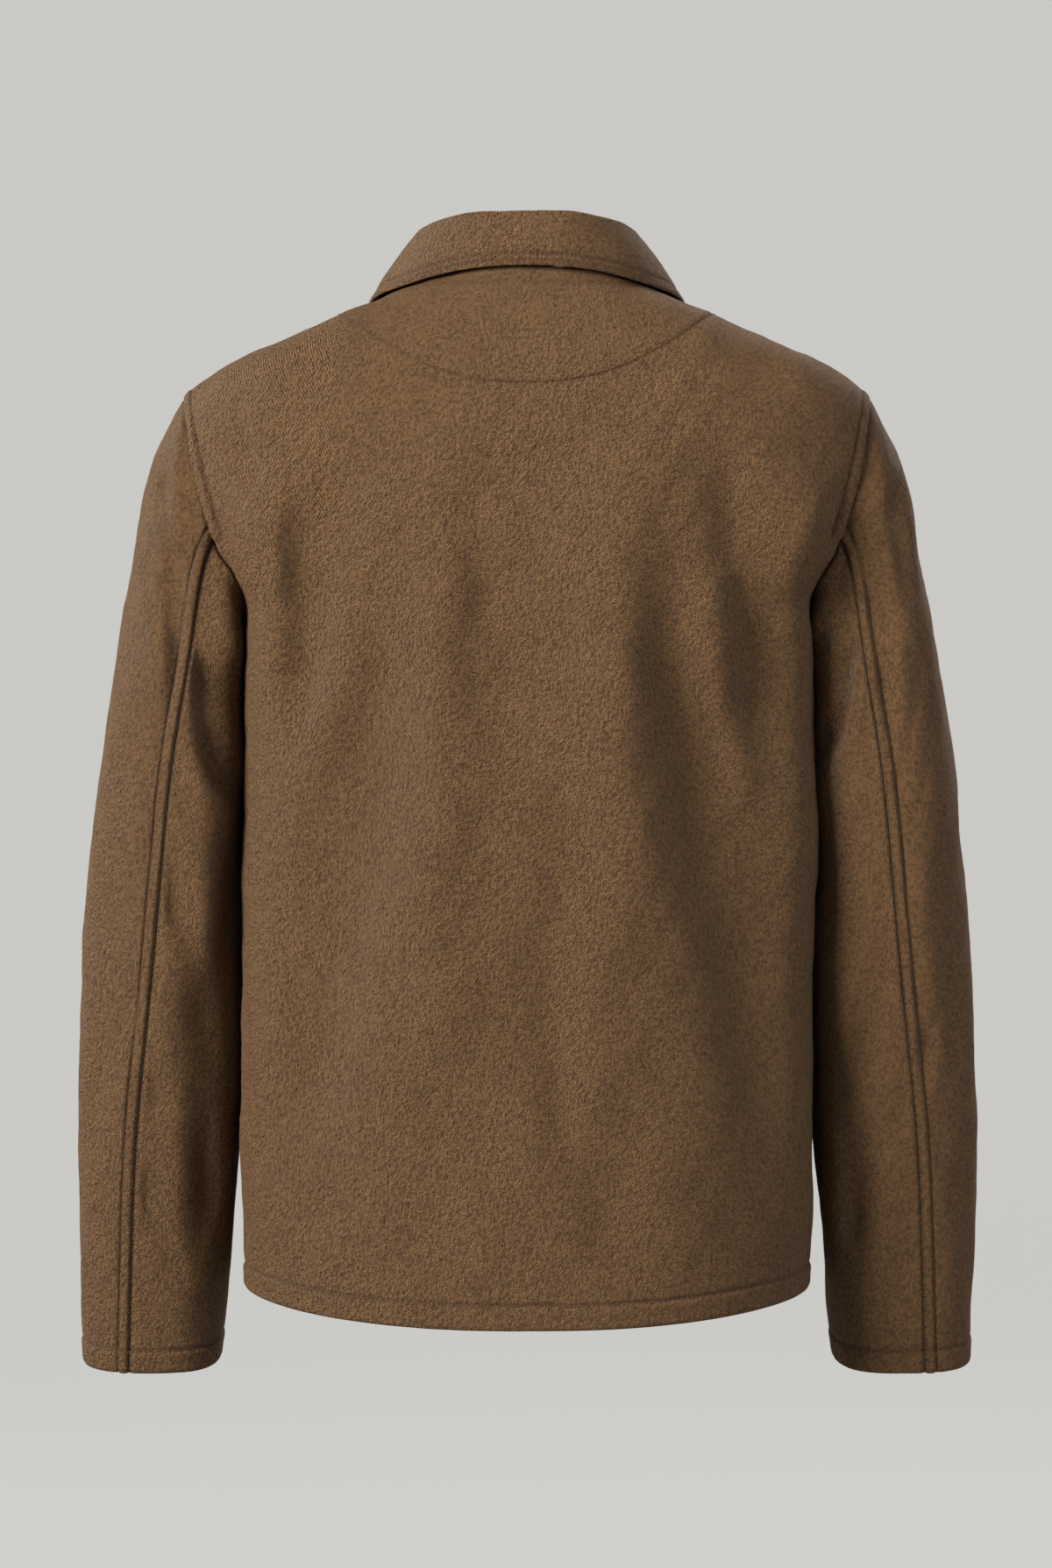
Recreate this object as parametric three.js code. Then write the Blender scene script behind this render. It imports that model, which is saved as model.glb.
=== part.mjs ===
// Shirt jacket in brushed wool, filled out as if worn: open at the neck, the cuffs and the hem.
//
// Frame: millimetres, +Z up. The front faces -Y, and the wearer's left is +X.
// Origin: the middle of the neck base, close to the height of the points where the shoulder seams
// meet the neck.
//
// Each cloth piece is a grid of points on its outer face. A second grid lies one wall thickness
// inside it, and a rim closes the two all round. Where pieces are sewn together they share the
// direction of their rims, and each is drawn back by half the seam gap.

import * as THREE from "three";

// ---------------------------------------------------------------- driving dimensions

const WALL = 2.0; // one layer of heavy wool
const COLLAR_WALL = 2.6; // two layers and their interfacing
const SEAM_GAP = 0.3; // between two pieces that are sewn together
const MITRE_LIMIT = 0.55; // cosine of the widest angle between a piece's own way and a shared rim's
const MITRE_FLOOR = 0.12; // keeps a rim from being drawn back too far at a sharp corner

const SIDE_HEM_Z = -658;
const UNDERARM_Z = -204;
const SHOULDER_TIP_Z = -65;
const YOKE_END_Z = -9.5; // where the yoke seam meets the shoulder seam
const NECK_POINT_Z = 7; // where the shoulder seam meets the collar

const ROW_SAG_POWER = 2.3; // how a row of the grid dips from the seam to the middle
const ROW_SPREAD_POWER = 3; // how quickly the rows spread from the armhole towards the middle

const HEM_DEPTH = 16; // from the edge to the line of stitches
const HEM_STEP = 3; // the swell above the hem falls away over this height
const HEM_SWELL = 0.7;
const WELT_WIDTH = 9; // seam allowances pressed to one side and stitched down
const WELT_CREST = 4;
const WELT_HEIGHT = 1.3;

const ARMHOLE_BOW = 0.09; // how far the armhole bows out of a straight line, as a share
const FRONT_SCOOP = 10; // the front armhole is cut this much deeper than the back one
const WELT_FOOT_ANGLE = -24; // the sleeve's back seam meets the armhole here
const WELT_TOP_Z = -72;

const COLLAR_END = 3; // each end of the collar stops this far from the centre front
const LAP = 18; // each front runs this far past the centre front
const LAP_SINK = WALL + 0.6; // the right front lies this far under the left one
const LAP_RUN = 14; // the right front sinks over this width
const FOLD_RADIUS = 4.2; // the collar rolls over with this radius
const FOLD_LEAD = 1; // and rises straight from the stand by this much first

const BUTTON_RADIUS = 10;
const BUTTON_HEIGHT = 3.4;
const BUTTON_RIM = 1.1;
const BUTTON_DISH = 0.9;
const BUTTON_CLEARANCE = 0.45;
const FIRST_BUTTON_Z = -86;
const BUTTON_SPACING = 124;
const BUTTON_COUNT = 5;

// The body's level sections: half its width, its depth behind and in front of the side seams, and
// the power of the superellipse, which is squarer where it is higher.
const BODY_SECTIONS = [
  { z: -675, halfWidth: 189, back: 132.5, front: 130, power: 2.5 },
  { z: -640, halfWidth: 190, back: 133, front: 130, power: 2.5 },
  { z: -500, halfWidth: 190.5, back: 134, front: 130, power: 2.5 },
  { z: -400, halfWidth: 190, back: 134, front: 130.5, power: 2.52 },
  { z: -300, halfWidth: 188.5, back: 132.5, front: 131, power: 2.62 },
  { z: -225, halfWidth: 187.5, back: 129.5, front: 129, power: 2.85 },
  { z: -204, halfWidth: 189.5, back: 128.5, front: 128, power: 2.9 },
  { z: -188, halfWidth: 202, back: 127.5, front: 127, power: 2.8 },
  { z: -165, halfWidth: 221, back: 126, front: 125, power: 2.62 },
  { z: -135, halfWidth: 237, back: 123, front: 120.5, power: 2.5 },
  { z: -105, halfWidth: 243, back: 118, front: 113, power: 2.45 },
  { z: -82, halfWidth: 240, back: 113, front: 104, power: 2.45 },
  { z: -65, halfWidth: 230, back: 108, front: 95, power: 2.45 },
  { z: -50, halfWidth: 212, back: 103.5, front: 85.5, power: 2.45 },
  { z: -38, halfWidth: 191, back: 99.5, front: 77, power: 2.45 },
  { z: -27, halfWidth: 167, back: 95, front: 68, power: 2.45 },
  { z: -15, halfWidth: 140, back: 89, front: 59, power: 2.45 },
  { z: -3, halfWidth: 107, back: 83, front: 50, power: 2.45 },
  { z: 7, halfWidth: 84, back: 77, front: 40, power: 2.45 },
  { z: 16, halfWidth: 62, back: 72, front: 28, power: 2.45 },
];

// Below the underarm a row starts at height "edge" on the side seam, and meets the centre line at
// these heights.
const ROW_MIDDLES = [
  { edge: -658, back: -672, front: -664 },
  { edge: -400, back: -406, front: -404 },
  { edge: -204, back: -212, front: -216 },
];

// The yoke seam and the neckline cross the centre line at these heights.
const YOKE_SEAM_MIDDLE_Z = -65.6;
const BACK_NECK_MIDDLE_Z = 16;
const FRONT_NECK_MIDDLE_Z = -62;

// Sections through the left sleeve, from the armhole to the cuff. "inner" lies next to the body and
// "outer" on the far side; the sections turn from the slant of the armhole to level. "lean" tips
// the back of a section down, as the forearm comes forward.
const SLEEVE_SECTIONS = [
  { s: 0.0, innerX: 189.5, innerZ: -204, outerX: 230, outerZ: -65, halfDepth: 74, middleY: -5, lean: 0 },
  { s: 0.06, innerX: 191.2, innerZ: -216, outerX: 241, outerZ: -88, halfDepth: 76, middleY: -4, lean: 0 },
  { s: 0.12, innerX: 192, innerZ: -231, outerX: 251, outerZ: -113, halfDepth: 77.5, middleY: -3, lean: 0 },
  { s: 0.2, innerX: 192.4, innerZ: -256, outerX: 261.5, outerZ: -158, halfDepth: 78.5, middleY: -1, lean: 0 },
  { s: 0.3, innerX: 192.7, innerZ: -300, outerX: 272.5, outerZ: -214, halfDepth: 78, middleY: 2, lean: 0 },
  { s: 0.4, innerX: 193, innerZ: -348, outerX: 282, outerZ: -278, halfDepth: 75, middleY: 3, lean: 0.01 },
  { s: 0.5, innerX: 193.2, innerZ: -400, outerX: 289.5, outerZ: -345, halfDepth: 70.5, middleY: 2, lean: 0.03 },
  { s: 0.6, innerX: 193.4, innerZ: -452, outerX: 296, outerZ: -415, halfDepth: 65.5, middleY: -1, lean: 0.06 },
  { s: 0.7, innerX: 193.8, innerZ: -510, outerX: 300.5, outerZ: -485, halfDepth: 60.5, middleY: -7, lean: 0.09 },
  { s: 0.8, innerX: 195.6, innerZ: -570, outerX: 303.3, outerZ: -556, halfDepth: 55.5, middleY: -14, lean: 0.11 },
  { s: 0.9, innerX: 201, innerZ: -638, outerX: 303.2, outerZ: -632, halfDepth: 49.5, middleY: -22, lean: 0.13 },
  { s: 1.0, innerX: 209, innerZ: -714, outerX: 302, outerZ: -713, halfDepth: 43.5, middleY: -31, lean: 0.14 },
];

// Where the sleeve's two seams run round it, in degrees: 0 at the back, 90 on the outer side.
const SLEEVE_SEAMS = [
  { s: 0.0, backSeam: -24, frontSeam: 204 },
  { s: 0.2, backSeam: -18, frontSeam: 205 },
  { s: 0.4, backSeam: -7, frontSeam: 207 },
  { s: 0.6, backSeam: 0, frontSeam: 209 },
  { s: 0.8, backSeam: 10.5, frontSeam: 211 },
  { s: 1.0, backSeam: 14.5, frontSeam: 212 },
];

// The collar's top fold and its lower edge, by the turn in degrees from the centre back. The first
// row mirrors the third, so that the curve runs level across the centre back.
const COLLAR_FOLD = [
  { turn: -30, x: -37, y: 54, z: 51.6 },
  { turn: 0, x: 0, y: 61, z: 52.5 },
  { turn: 30, x: 37, y: 54, z: 51.6 },
  { turn: 60, x: 62, y: 33, z: 48.5 },
  { turn: 90, x: 72, y: 0, z: 42 },
  { turn: 120, x: 62, y: -40, z: 24 },
  { turn: 150, x: 36, y: -74, z: -8 },
  { turn: 180, x: 2, y: -91, z: -38 },
];
const COLLAR_EDGE = [
  { turn: -30, x: -43.5, y: 73.5, z: 14.8 },
  { turn: 0, x: 0, y: 79.5, z: 17.2 },
  { turn: 30, x: 43.5, y: 73.5, z: 14.8 },
  { turn: 60, x: 82, y: 50, z: 8.6 },
  { turn: 90, x: 106, y: 4, z: 6 },
  { turn: 120, x: 105.5, y: -52, z: -12.5 },
  { turn: 150, x: 86, y: -94, z: -58 },
  { turn: 180, x: 56, y: -114.5, z: -95 },
];

// Soft troughs in the body, each from its top to its foot. "side" is +1 on the back and -1 on the
// front; a positive x is on the wearer's left.
const BODY_FOLDS = [
  { side: 1, topX: 132, topZ: -100, footX: 154, footZ: -260, width: 12, depth: 4.5 },
  { side: 1, topX: 90, topZ: -170, footX: 130, footZ: -340, width: 17, depth: 5.5 },
  { side: 1, topX: 127, topZ: -300, footX: 150, footZ: -580, width: 21, depth: 5 },
  { side: 1, topX: 51, topZ: -125, footX: 34, footZ: -320, width: 18, depth: 2.5 },
  { side: 1, topX: -3, topZ: -360, footX: -6, footZ: -560, width: 15, depth: 2 },
  { side: 1, topX: -74, topZ: -150, footX: -106, footZ: -365, width: 17, depth: 7 },
  { side: 1, topX: -101, topZ: -320, footX: -158, footZ: -600, width: 19, depth: 7 },
  { side: 1, topX: -124, topZ: -100, footX: -158, footZ: -305, width: 13, depth: 4.5 },
  { side: -1, topX: 118, topZ: -120, footX: 146, footZ: -300, width: 15, depth: 4.5 },
  { side: -1, topX: 84, topZ: -230, footX: 122, footZ: -560, width: 21, depth: 5.5 },
  { side: -1, topX: -112, topZ: -115, footX: -140, footZ: -290, width: 15, depth: 4.5 },
  { side: -1, topX: -78, topZ: -200, footX: -130, footZ: -590, width: 20, depth: 6 },
];

// Troughs in the sleeves, each from one place to another: "s" runs down the sleeve and "angle"
// round it. "side" is +1 on the wearer's left.
const SLEEVE_FOLDS = [
  { side: 1, topS: 0.14, topAngle: -22, footS: 0.34, footAngle: -58, width: 10, depth: 4 },
  { side: 1, topS: 0.4, topAngle: 196, footS: 0.52, footAngle: 238, width: 11, depth: 4 },
  { side: 1, topS: 0.5, topAngle: 10, footS: 0.66, footAngle: -40, width: 13, depth: 3 },
  { side: -1, topS: 0.16, topAngle: -26, footS: 0.36, footAngle: -62, width: 11, depth: 4.5 },
  { side: -1, topS: 0.42, topAngle: 194, footS: 0.55, footAngle: 240, width: 11, depth: 4 },
  { side: -1, topS: 0.54, topAngle: 8, footS: 0.7, footAngle: -44, width: 13, depth: 3 },
];

// How many steps the grids take.
const HEM_TO_UNDERARM_STEPS = 12;
const UNDERARM_TO_WELT_STEPS = 4;
const WELT_TO_TIP_STEPS = 8;
const SHOULDER_STEPS = 5;
const YOKE_STEPS = 3;
const YOKE_SEAM_STEPS = 8;
const NECK_STEPS = 5;
const FINE_STEPS = 120; // in the lines that the grids' points are picked from
const SLEEVE_STEPS = 16;
const STAND_STEPS = 2;
const BUTTON_SIDES = 16;

const WOOL = { color: 0x66492f, roughness: 0.95, metalness: 0 };
const HORN = { color: 0x3b2a1d, roughness: 0.45, metalness: 0 };

// ---------------------------------------------------------------- small helpers

const radians = THREE.MathUtils.degToRad;
const mix = THREE.MathUtils.lerp;
const ease = (share) => THREE.MathUtils.smoothstep(share, 0, 1);

// The values from one number to another in equal steps, both ends included.
function stepsBetween(from, to, count) {
  return Array.from({ length: count + 1 }, (_, i) => mix(from, to, i / count));
}

// The two rows of a table, sorted by "key", that lie round a value, and the share between them.
function findRows(table, key, value) {
  let i = 0;
  while (i < table.length - 2 && table[i + 1][key] < value) i += 1;
  const share = (value - table[i][key]) / (table[i + 1][key] - table[i][key]);
  return { i, share: THREE.MathUtils.clamp(share, 0, 1) };
}

// Reads a column of a table in straight lines.
function readStraight(table, key, column, value) {
  const { i, share } = findRows(table, key, value);
  return mix(table[i][column], table[i + 1][column], share);
}

// Reads a column of a table along a smooth curve through its rows.
function readSmooth(table, key, column, value) {
  const { i, share } = findRows(table, key, value);
  const slopeAt = (row) => {
    const below = table[Math.max(row - 1, 0)];
    const above = table[Math.min(row + 1, table.length - 1)];
    return (above[column] - below[column]) / (above[key] - below[key]);
  };
  const span = table[i + 1][key] - table[i][key];
  const t2 = share * share;
  const t3 = t2 * share;
  return (
    (2 * t3 - 3 * t2 + 1) * table[i][column] +
    (t3 - 2 * t2 + share) * span * slopeAt(i) +
    (3 * t2 - 2 * t3) * table[i + 1][column] +
    (t3 - t2) * span * slopeAt(i + 1)
  );
}

// How far into a trough a point lies: 1 in the middle of its line, fading to the sides and ends.
function troughShare(x, y, ax, ay, bx, by, width) {
  const dx = bx - ax;
  const dy = by - ay;
  const along = ((x - ax) * dx + (y - ay) * dy) / (dx * dx + dy * dy);
  if (along <= 0 || along >= 1) return 0;
  const off = Math.hypot(x - ax - along * dx, y - ay - along * dy) / width;
  return Math.exp(-off * off) * ease(3 * along) * ease(3 * (1 - along));
}

// ---------------------------------------------------------------- cloth pieces as closed walls

// Cells along the two ways of a grid give four edges, walked once round as a loop of cells.
function rimLoop(rows, columns) {
  const loop = [];
  for (let j = 0; j < columns - 1; j += 1) loop.push([0, j]);
  for (let i = 0; i < rows - 1; i += 1) loop.push([i, columns - 1]);
  for (let j = columns - 1; j > 0; j -= 1) loop.push([rows - 1, j]);
  for (let i = rows - 1; i > 0; i -= 1) loop.push([i, 0]);
  return loop;
}

// The normal at every point of a grid, pointing the way that "outward" does at its middle.
function gridNormals(points, outward) {
  const rows = points.length;
  const columns = points[0].length;
  const normals = points.map((row, i) =>
    row.map((_, j) => {
      const alongRow = points[i][Math.min(j + 1, columns - 1)]
        .clone()
        .sub(points[i][Math.max(j - 1, 0)]);
      const acrossRows = points[Math.min(i + 1, rows - 1)][j]
        .clone()
        .sub(points[Math.max(i - 1, 0)][j]);
      return alongRow.cross(acrossRows).normalize();
    }),
  );
  const i = Math.floor(rows / 2);
  const j = Math.floor(columns / 2);
  if (normals[i][j].dot(outward(points[i][j])) < 0) {
    normals.forEach((row) => row.forEach((normal) => normal.negate()));
  }
  return normals;
}

const placeKey = (p) => [p.x, p.y, p.z].map((v) => v.toFixed(3)).join(" ");

// Gathers, for each place on a seam, the normals of all the pieces that meet there.
function gatherSeamNormals(pieces) {
  const meeting = new Map();
  for (const { points, normals } of pieces) {
    for (const [i, j] of rimLoop(points.length, points[0].length)) {
      const key = placeKey(points[i][j]);
      if (!meeting.has(key)) meeting.set(key, []);
      meeting.get(key).push(normals[i][j]);
    }
  }
  return meeting;
}

const meanOf = (normals) => normals.reduce((sum, n) => sum.add(n), new THREE.Vector3()).normalize();

// The way in which a rim runs through the cloth. Pieces that meet share it, except in a tight
// inward crease such as the underarm, where only those that lie nearly alike do.
function rimDirection(own, meeting) {
  const mean = meanOf(meeting);
  const tight = meeting.some((n) => n.dot(mean) < MITRE_LIMIT);
  const direction = tight ? meanOf(meeting.filter((n) => n.dot(own) > MITRE_LIMIT)) : mean;
  return { direction, stretch: 1 / own.dot(direction) };
}

// How far each rim point is drawn back into its piece, to leave half a seam gap.
function drawBack(loop, k, points, directions, middle) {
  const at = (n) => {
    const [i, j] = loop[(n + loop.length) % loop.length];
    return points[i][j];
  };
  const here = at(k);
  const [i, j] = loop[k];
  const ways = [at(k - 1), at(k + 1)].map((next) => {
    const way = next.clone().sub(here).cross(directions[i][j]).normalize();
    return way.dot(middle.clone().sub(here)) < 0 ? way.negate() : way;
  });
  const spread = Math.max(MITRE_FLOOR, 1 + ways[0].dot(ways[1]));
  return ways[0].add(ways[1]).multiplyScalar(SEAM_GAP / 2 / spread);
}

// Builds the closed wall of one piece from its points, its relief in millimetres and its rims.
function wallGeometry(piece, seams) {
  const { points, normals, relief, wall } = piece;
  const rows = points.length;
  const columns = points[0].length;
  const directions = normals.map((row) => row.map((n) => n.clone()));
  const depths = normals.map((row) => row.map(() => wall));
  const loop = rimLoop(rows, columns);
  for (const [i, j] of loop) {
    const { direction, stretch } = rimDirection(normals[i][j], seams.get(placeKey(points[i][j])));
    directions[i][j] = direction;
    depths[i][j] = wall * stretch;
  }
  const outer = points.map((row, i) =>
    row.map((p, j) => p.clone().addScaledVector(directions[i][j], relief ? relief[i][j] : 0)),
  );
  const moves = loop.map(([i, j], k) => {
    const inI = THREE.MathUtils.clamp(i, 1, rows - 2);
    const inJ = THREE.MathUtils.clamp(j, 1, columns - 2);
    return drawBack(loop, k, points, directions, points[inI][inJ]);
  });
  loop.forEach(([i, j], k) => outer[i][j].add(moves[k]));
  const inner = outer.map((row, i) =>
    row.map((p, j) => p.clone().addScaledVector(directions[i][j], -depths[i][j])),
  );
  return closeWall(points, outer, inner, normals);
}

// Joins the two faces of a wall and its rim into one indexed geometry with its faces outwards.
function closeWall(points, outer, inner, normals) {
  const rows = points.length;
  const columns = points[0].length;
  const places = [...outer.flat(), ...inner.flat()].flatMap((p) => [p.x, p.y, p.z]);
  const outerAt = (i, j) => i * columns + j;
  const innerAt = (i, j) => rows * columns + outerAt(i, j);
  const faces = [];
  for (let i = 0; i < rows - 1; i += 1) {
    for (let j = 0; j < columns - 1; j += 1) {
      const corners = [[i, j], [i, j + 1], [i + 1, j + 1], [i + 1, j]];
      const [a, b, c, d] = corners.map(([r, q]) => outerAt(r, q));
      const [e, f, g, h] = corners.map(([r, q]) => innerAt(r, q));
      const down = outer[i][j].distanceTo(outer[i + 1][j + 1]);
      const up = outer[i][j + 1].distanceTo(outer[i + 1][j]);
      if (down < up) {
        faces.push([a, b, c], [a, c, d], [e, g, f], [e, h, g]);
      } else {
        faces.push([a, b, d], [b, c, d], [e, h, f], [f, h, g]);
      }
    }
  }
  const loop = rimLoop(rows, columns);
  loop.forEach(([i, j], k) => {
    const [m, n] = loop[(k + 1) % loop.length];
    // Both pieces at a seam split the rim along the same diagonal.
    if (placeKey(points[i][j]) < placeKey(points[m][n])) {
      faces.push([outerAt(m, n), outerAt(i, j), innerAt(m, n)]);
      faces.push([innerAt(m, n), outerAt(i, j), innerAt(i, j)]);
    } else {
      faces.push([outerAt(m, n), outerAt(i, j), innerAt(i, j)]);
      faces.push([outerAt(m, n), innerAt(i, j), innerAt(m, n)]);
    }
  });
  const across = points[0][1].clone().sub(points[0][0]);
  const along = points[1][0].clone().sub(points[0][0]);
  const outwards = across.cross(along).dot(normals[0][0]) > 0;
  const index = outwards ? faces.flat() : faces.flatMap(([a, b, c]) => [a, c, b]);
  const geometry = new THREE.BufferGeometry();
  geometry.setAttribute("position", new THREE.Float32BufferAttribute(places, 3));
  geometry.setIndex(index);
  geometry.computeVertexNormals();
  return geometry;
}

// ---------------------------------------------------------------- the body's outer face

const sectionAt = (column, z) => readSmooth(BODY_SECTIONS, "z", column, z);

function depthColumn(side) {
  return side > 0 ? "back" : "front";
}

function bodyPoint(x, z, side) {
  const share = Math.min(1, Math.abs(x) / sectionAt("halfWidth", z));
  const depth = sectionAt(depthColumn(side), z);
  const power = sectionAt("power", z);
  const y = side * depth * (1 - share ** power) ** (1 / power);
  return new THREE.Vector3(x, y, z);
}

function bodyNormal(x, z, side) {
  const across = bodyPoint(x + 1, z, side).sub(bodyPoint(x - 1, z, side));
  const up = bodyPoint(x, z + 1, side).sub(bodyPoint(x, z - 1, side));
  const normal = across.cross(up).normalize();
  return normal.y * side < 0 ? normal.negate() : normal;
}

// The half width at which a row of the grid starts: on the armhole, or on the outline elsewhere.
function edgeX(z, side) {
  if (z <= UNDERARM_Z || z >= SHOULDER_TIP_Z) return sectionAt("halfWidth", z);
  const rise = (z - UNDERARM_Z) / (SHOULDER_TIP_Z - UNDERARM_Z);
  const bow = Math.sin(Math.PI * rise);
  const low = sectionAt("halfWidth", UNDERARM_Z);
  const high = sectionAt("halfWidth", SHOULDER_TIP_Z);
  return mix(low, high, rise + ARMHOLE_BOW * bow) - (side < 0 ? FRONT_SCOOP * bow : 0);
}

// The angles at which the armhole is divided, from -90 at the underarm to 90 at the shoulder. Two
// steps just above the foot of the sleeve's back seam carry its welt.
const WELT_CREST_ANGLE = WELT_FOOT_ANGLE + 3.3;
const WELT_EDGE_ANGLE = WELT_FOOT_ANGLE + 7;
const ARMHOLE_ANGLES = [
  ...stepsBetween(-90, WELT_FOOT_ANGLE, UNDERARM_TO_WELT_STEPS),
  WELT_CREST_ANGLE,
  ...stepsBetween(WELT_EDGE_ANGLE, 90, WELT_TO_TIP_STEPS),
];

function armholeZ(angle) {
  const middle = (UNDERARM_Z + SHOULDER_TIP_Z) / 2;
  const half = (SHOULDER_TIP_Z - UNDERARM_Z) / 2;
  return middle + half * Math.sin(radians(angle));
}

// How far up the armhole a height lies, from 0 at the underarm to 1 at the shoulder, in even turns.
function armholeTurn(z) {
  const middle = (UNDERARM_Z + SHOULDER_TIP_Z) / 2;
  const half = (SHOULDER_TIP_Z - UNDERARM_Z) / 2;
  return 0.5 + Math.asin((z - middle) / half) / Math.PI;
}

// The heights at which the rows of the body's grid start on its side, from the hem up.
const HEM_ROWS = [SIDE_HEM_Z, SIDE_HEM_Z + HEM_DEPTH - HEM_STEP / 2];
const LOW_ROWS = stepsBetween(
  SIDE_HEM_Z + HEM_DEPTH + HEM_STEP / 2,
  UNDERARM_Z,
  HEM_TO_UNDERARM_STEPS,
);
const ARMHOLE_ROWS = ARMHOLE_ANGLES.slice(1, -1).map(armholeZ);
const SIDE_ROWS = [...HEM_ROWS, ...LOW_ROWS, ...ARMHOLE_ROWS];

// The height of the shoulder seam at a distance from the centre, found by halving.
function shoulderZ(x) {
  let low = SHOULDER_TIP_Z;
  let high = NECK_POINT_Z;
  for (let k = 0; k < 40; k += 1) {
    const middle = (low + high) / 2;
    if (sectionAt("halfWidth", middle) > x) low = middle;
    else high = middle;
  }
  return (low + high) / 2;
}

// The height at x of a line that sags from "edgeZ" at its end to "middleZ" on the centre line.
const sagZ = (x, endX, edgeZ, middleZ) => mix(middleZ, edgeZ, (Math.abs(x) / endX) ** ROW_SAG_POWER);

// The top edge of the back, or of a front: the shoulder seam, then the yoke seam or the neckline.
function topEdgeZ(x, side) {
  const innerZ = side > 0 ? YOKE_END_Z : NECK_POINT_Z;
  const innerX = sectionAt("halfWidth", innerZ);
  if (Math.abs(x) > innerX) return shoulderZ(Math.abs(x));
  return sagZ(x, innerX, innerZ, side > 0 ? YOKE_SEAM_MIDDLE_Z : FRONT_NECK_MIDDLE_Z);
}

// A fine line of points over the body from "startX" to "endX", at the heights that "heightAt" gives.
function bodyLine(startX, endX, side, edgeZ, heightAt) {
  const widest = sectionAt("halfWidth", edgeZ);
  const power = sectionAt("power", edgeZ);
  const startAngle = Math.acos(Math.min(1, startX / widest) ** (power / 2));
  return stepsBetween(startAngle, Math.PI / 2, FINE_STEPS).map((angle) => {
    const share = Math.max(0, Math.cos(angle) / Math.cos(startAngle)) ** (2 / power);
    const x = mix(endX, startX, share);
    const p = bodyPoint(x, heightAt(x), side);
    if (angle === 0) p.y = 0;
    return p;
  });
}

// The line of one row of the grid. Above the underarm the rows turn from level to the top edge,
// and spread from their close steps at the foot of the armhole towards the middle.
function rowLine(edgeZ, side, endX) {
  const startX = edgeX(edgeZ, side);
  const column = depthColumn(side);
  if (edgeZ <= UNDERARM_Z) {
    const middleZ = readStraight(ROW_MIDDLES, "edge", column, edgeZ);
    return bodyLine(startX, endX, side, edgeZ, (x) => sagZ(x, startX, edgeZ, middleZ));
  }
  const lowMiddleZ = ROW_MIDDLES[ROW_MIDDLES.length - 1][column];
  const lowX = sectionAt("halfWidth", UNDERARM_Z);
  const lowZ = (x) => sagZ(Math.min(Math.abs(x), lowX), lowX, UNDERARM_Z, lowMiddleZ);
  const edgeRise = (edgeZ - lowZ(startX)) / (topEdgeZ(startX, side) - lowZ(startX));
  const turn = armholeTurn(edgeZ);
  const middleRise = mix(turn, edgeRise, turn);
  return bodyLine(startX, endX, side, edgeZ, (x) => {
    const rise = mix(middleRise, edgeRise, (Math.abs(x) / startX) ** ROW_SPREAD_POWER);
    return mix(lowZ(x), topEdgeZ(x, side), rise);
  });
}

// The distance from a line's start to each of its points.
function runOf(line) {
  const run = [0];
  for (let k = 1; k < line.length; k += 1) run.push(run[k - 1] + line[k].distanceTo(line[k - 1]));
  return run;
}

// The points at given distances along a line.
function pickAlong(line, distancesFor) {
  const run = runOf(line);
  return distancesFor(run[run.length - 1]).map((distance) => {
    let k = 0;
    while (k < line.length - 2 && run[k + 1] < distance) k += 1;
    const share = THREE.MathUtils.clamp((distance - run[k]) / (run[k + 1] - run[k]), 0, 1);
    return line[k].clone().lerp(line[k + 1], share);
  });
}

const mirrored = (p) => new THREE.Vector3(-p.x, p.y, p.z);

// The shoulder seam's points, from the tip to the end of the yoke seam and on to the neck.
function shoulderPoints(fromZ, toZ, distancesFor) {
  const line = stepsBetween(fromZ, toZ, FINE_STEPS).map(
    (z) => new THREE.Vector3(sectionAt("halfWidth", z), 0, z),
  );
  return pickAlong(line, distancesFor);
}

const OUTER_SHOULDER = shoulderPoints(SHOULDER_TIP_Z, YOKE_END_Z, (length) => [
  0,
  WELT_CREST,
  ...stepsBetween(WELT_WIDTH, length, SHOULDER_STEPS),
]);
const INNER_SHOULDER = shoulderPoints(YOKE_END_Z, NECK_POINT_Z, (length) =>
  stepsBetween(0, length, YOKE_STEPS),
);

// The rows of the yoke, from its seam to the neckline, each from the left shoulder to the right.
function yokeRows() {
  return INNER_SHOULDER.map((end, k) => {
    const middleZ = mix(YOKE_SEAM_MIDDLE_Z, BACK_NECK_MIDDLE_Z, k / YOKE_STEPS);
    const line = bodyLine(end.x, 0, 1, end.z, (x) => sagZ(x, end.x, end.z, middleZ));
    return acrossBack(pickAlong(line, (length) => stepsBetween(0, length, YOKE_SEAM_STEPS)));
  });
}

// A half row from the wearer's left to the centre, carried on to the right.
function acrossBack(half) {
  half[half.length - 1].x = 0;
  return [...half, ...half.slice(0, -1).reverse().map(mirrored)];
}

// Spreads the columns of a row: evenly near the hem, and as on the top edge near the shoulder.
// "hidden" is the length that the armhole cuts off the row's start, made up by the first columns.
function spreadColumns(length, hidden, topRun, edgeZ) {
  const likeTop = ease((edgeZ - UNDERARM_Z) / (SHOULDER_TIP_Z - UNDERARM_Z));
  const last = topRun.length - 1;
  return topRun.map((run, j) => {
    if (j < 2) return j * WELT_CREST;
    const share = (j - 2) / (last - 2);
    const even = mix(WELT_WIDTH, length + hidden, share) - hidden * (1 - (1 - share) ** 3);
    const asTop = mix(WELT_WIDTH, length, (run - WELT_WIDTH) / (topRun[last] - WELT_WIDTH));
    return mix(even, asTop, likeTop);
  });
}

function hiddenLength(start, edgeZ) {
  return Math.hypot(sectionAt("halfWidth", edgeZ) - start.x, start.y);
}

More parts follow.
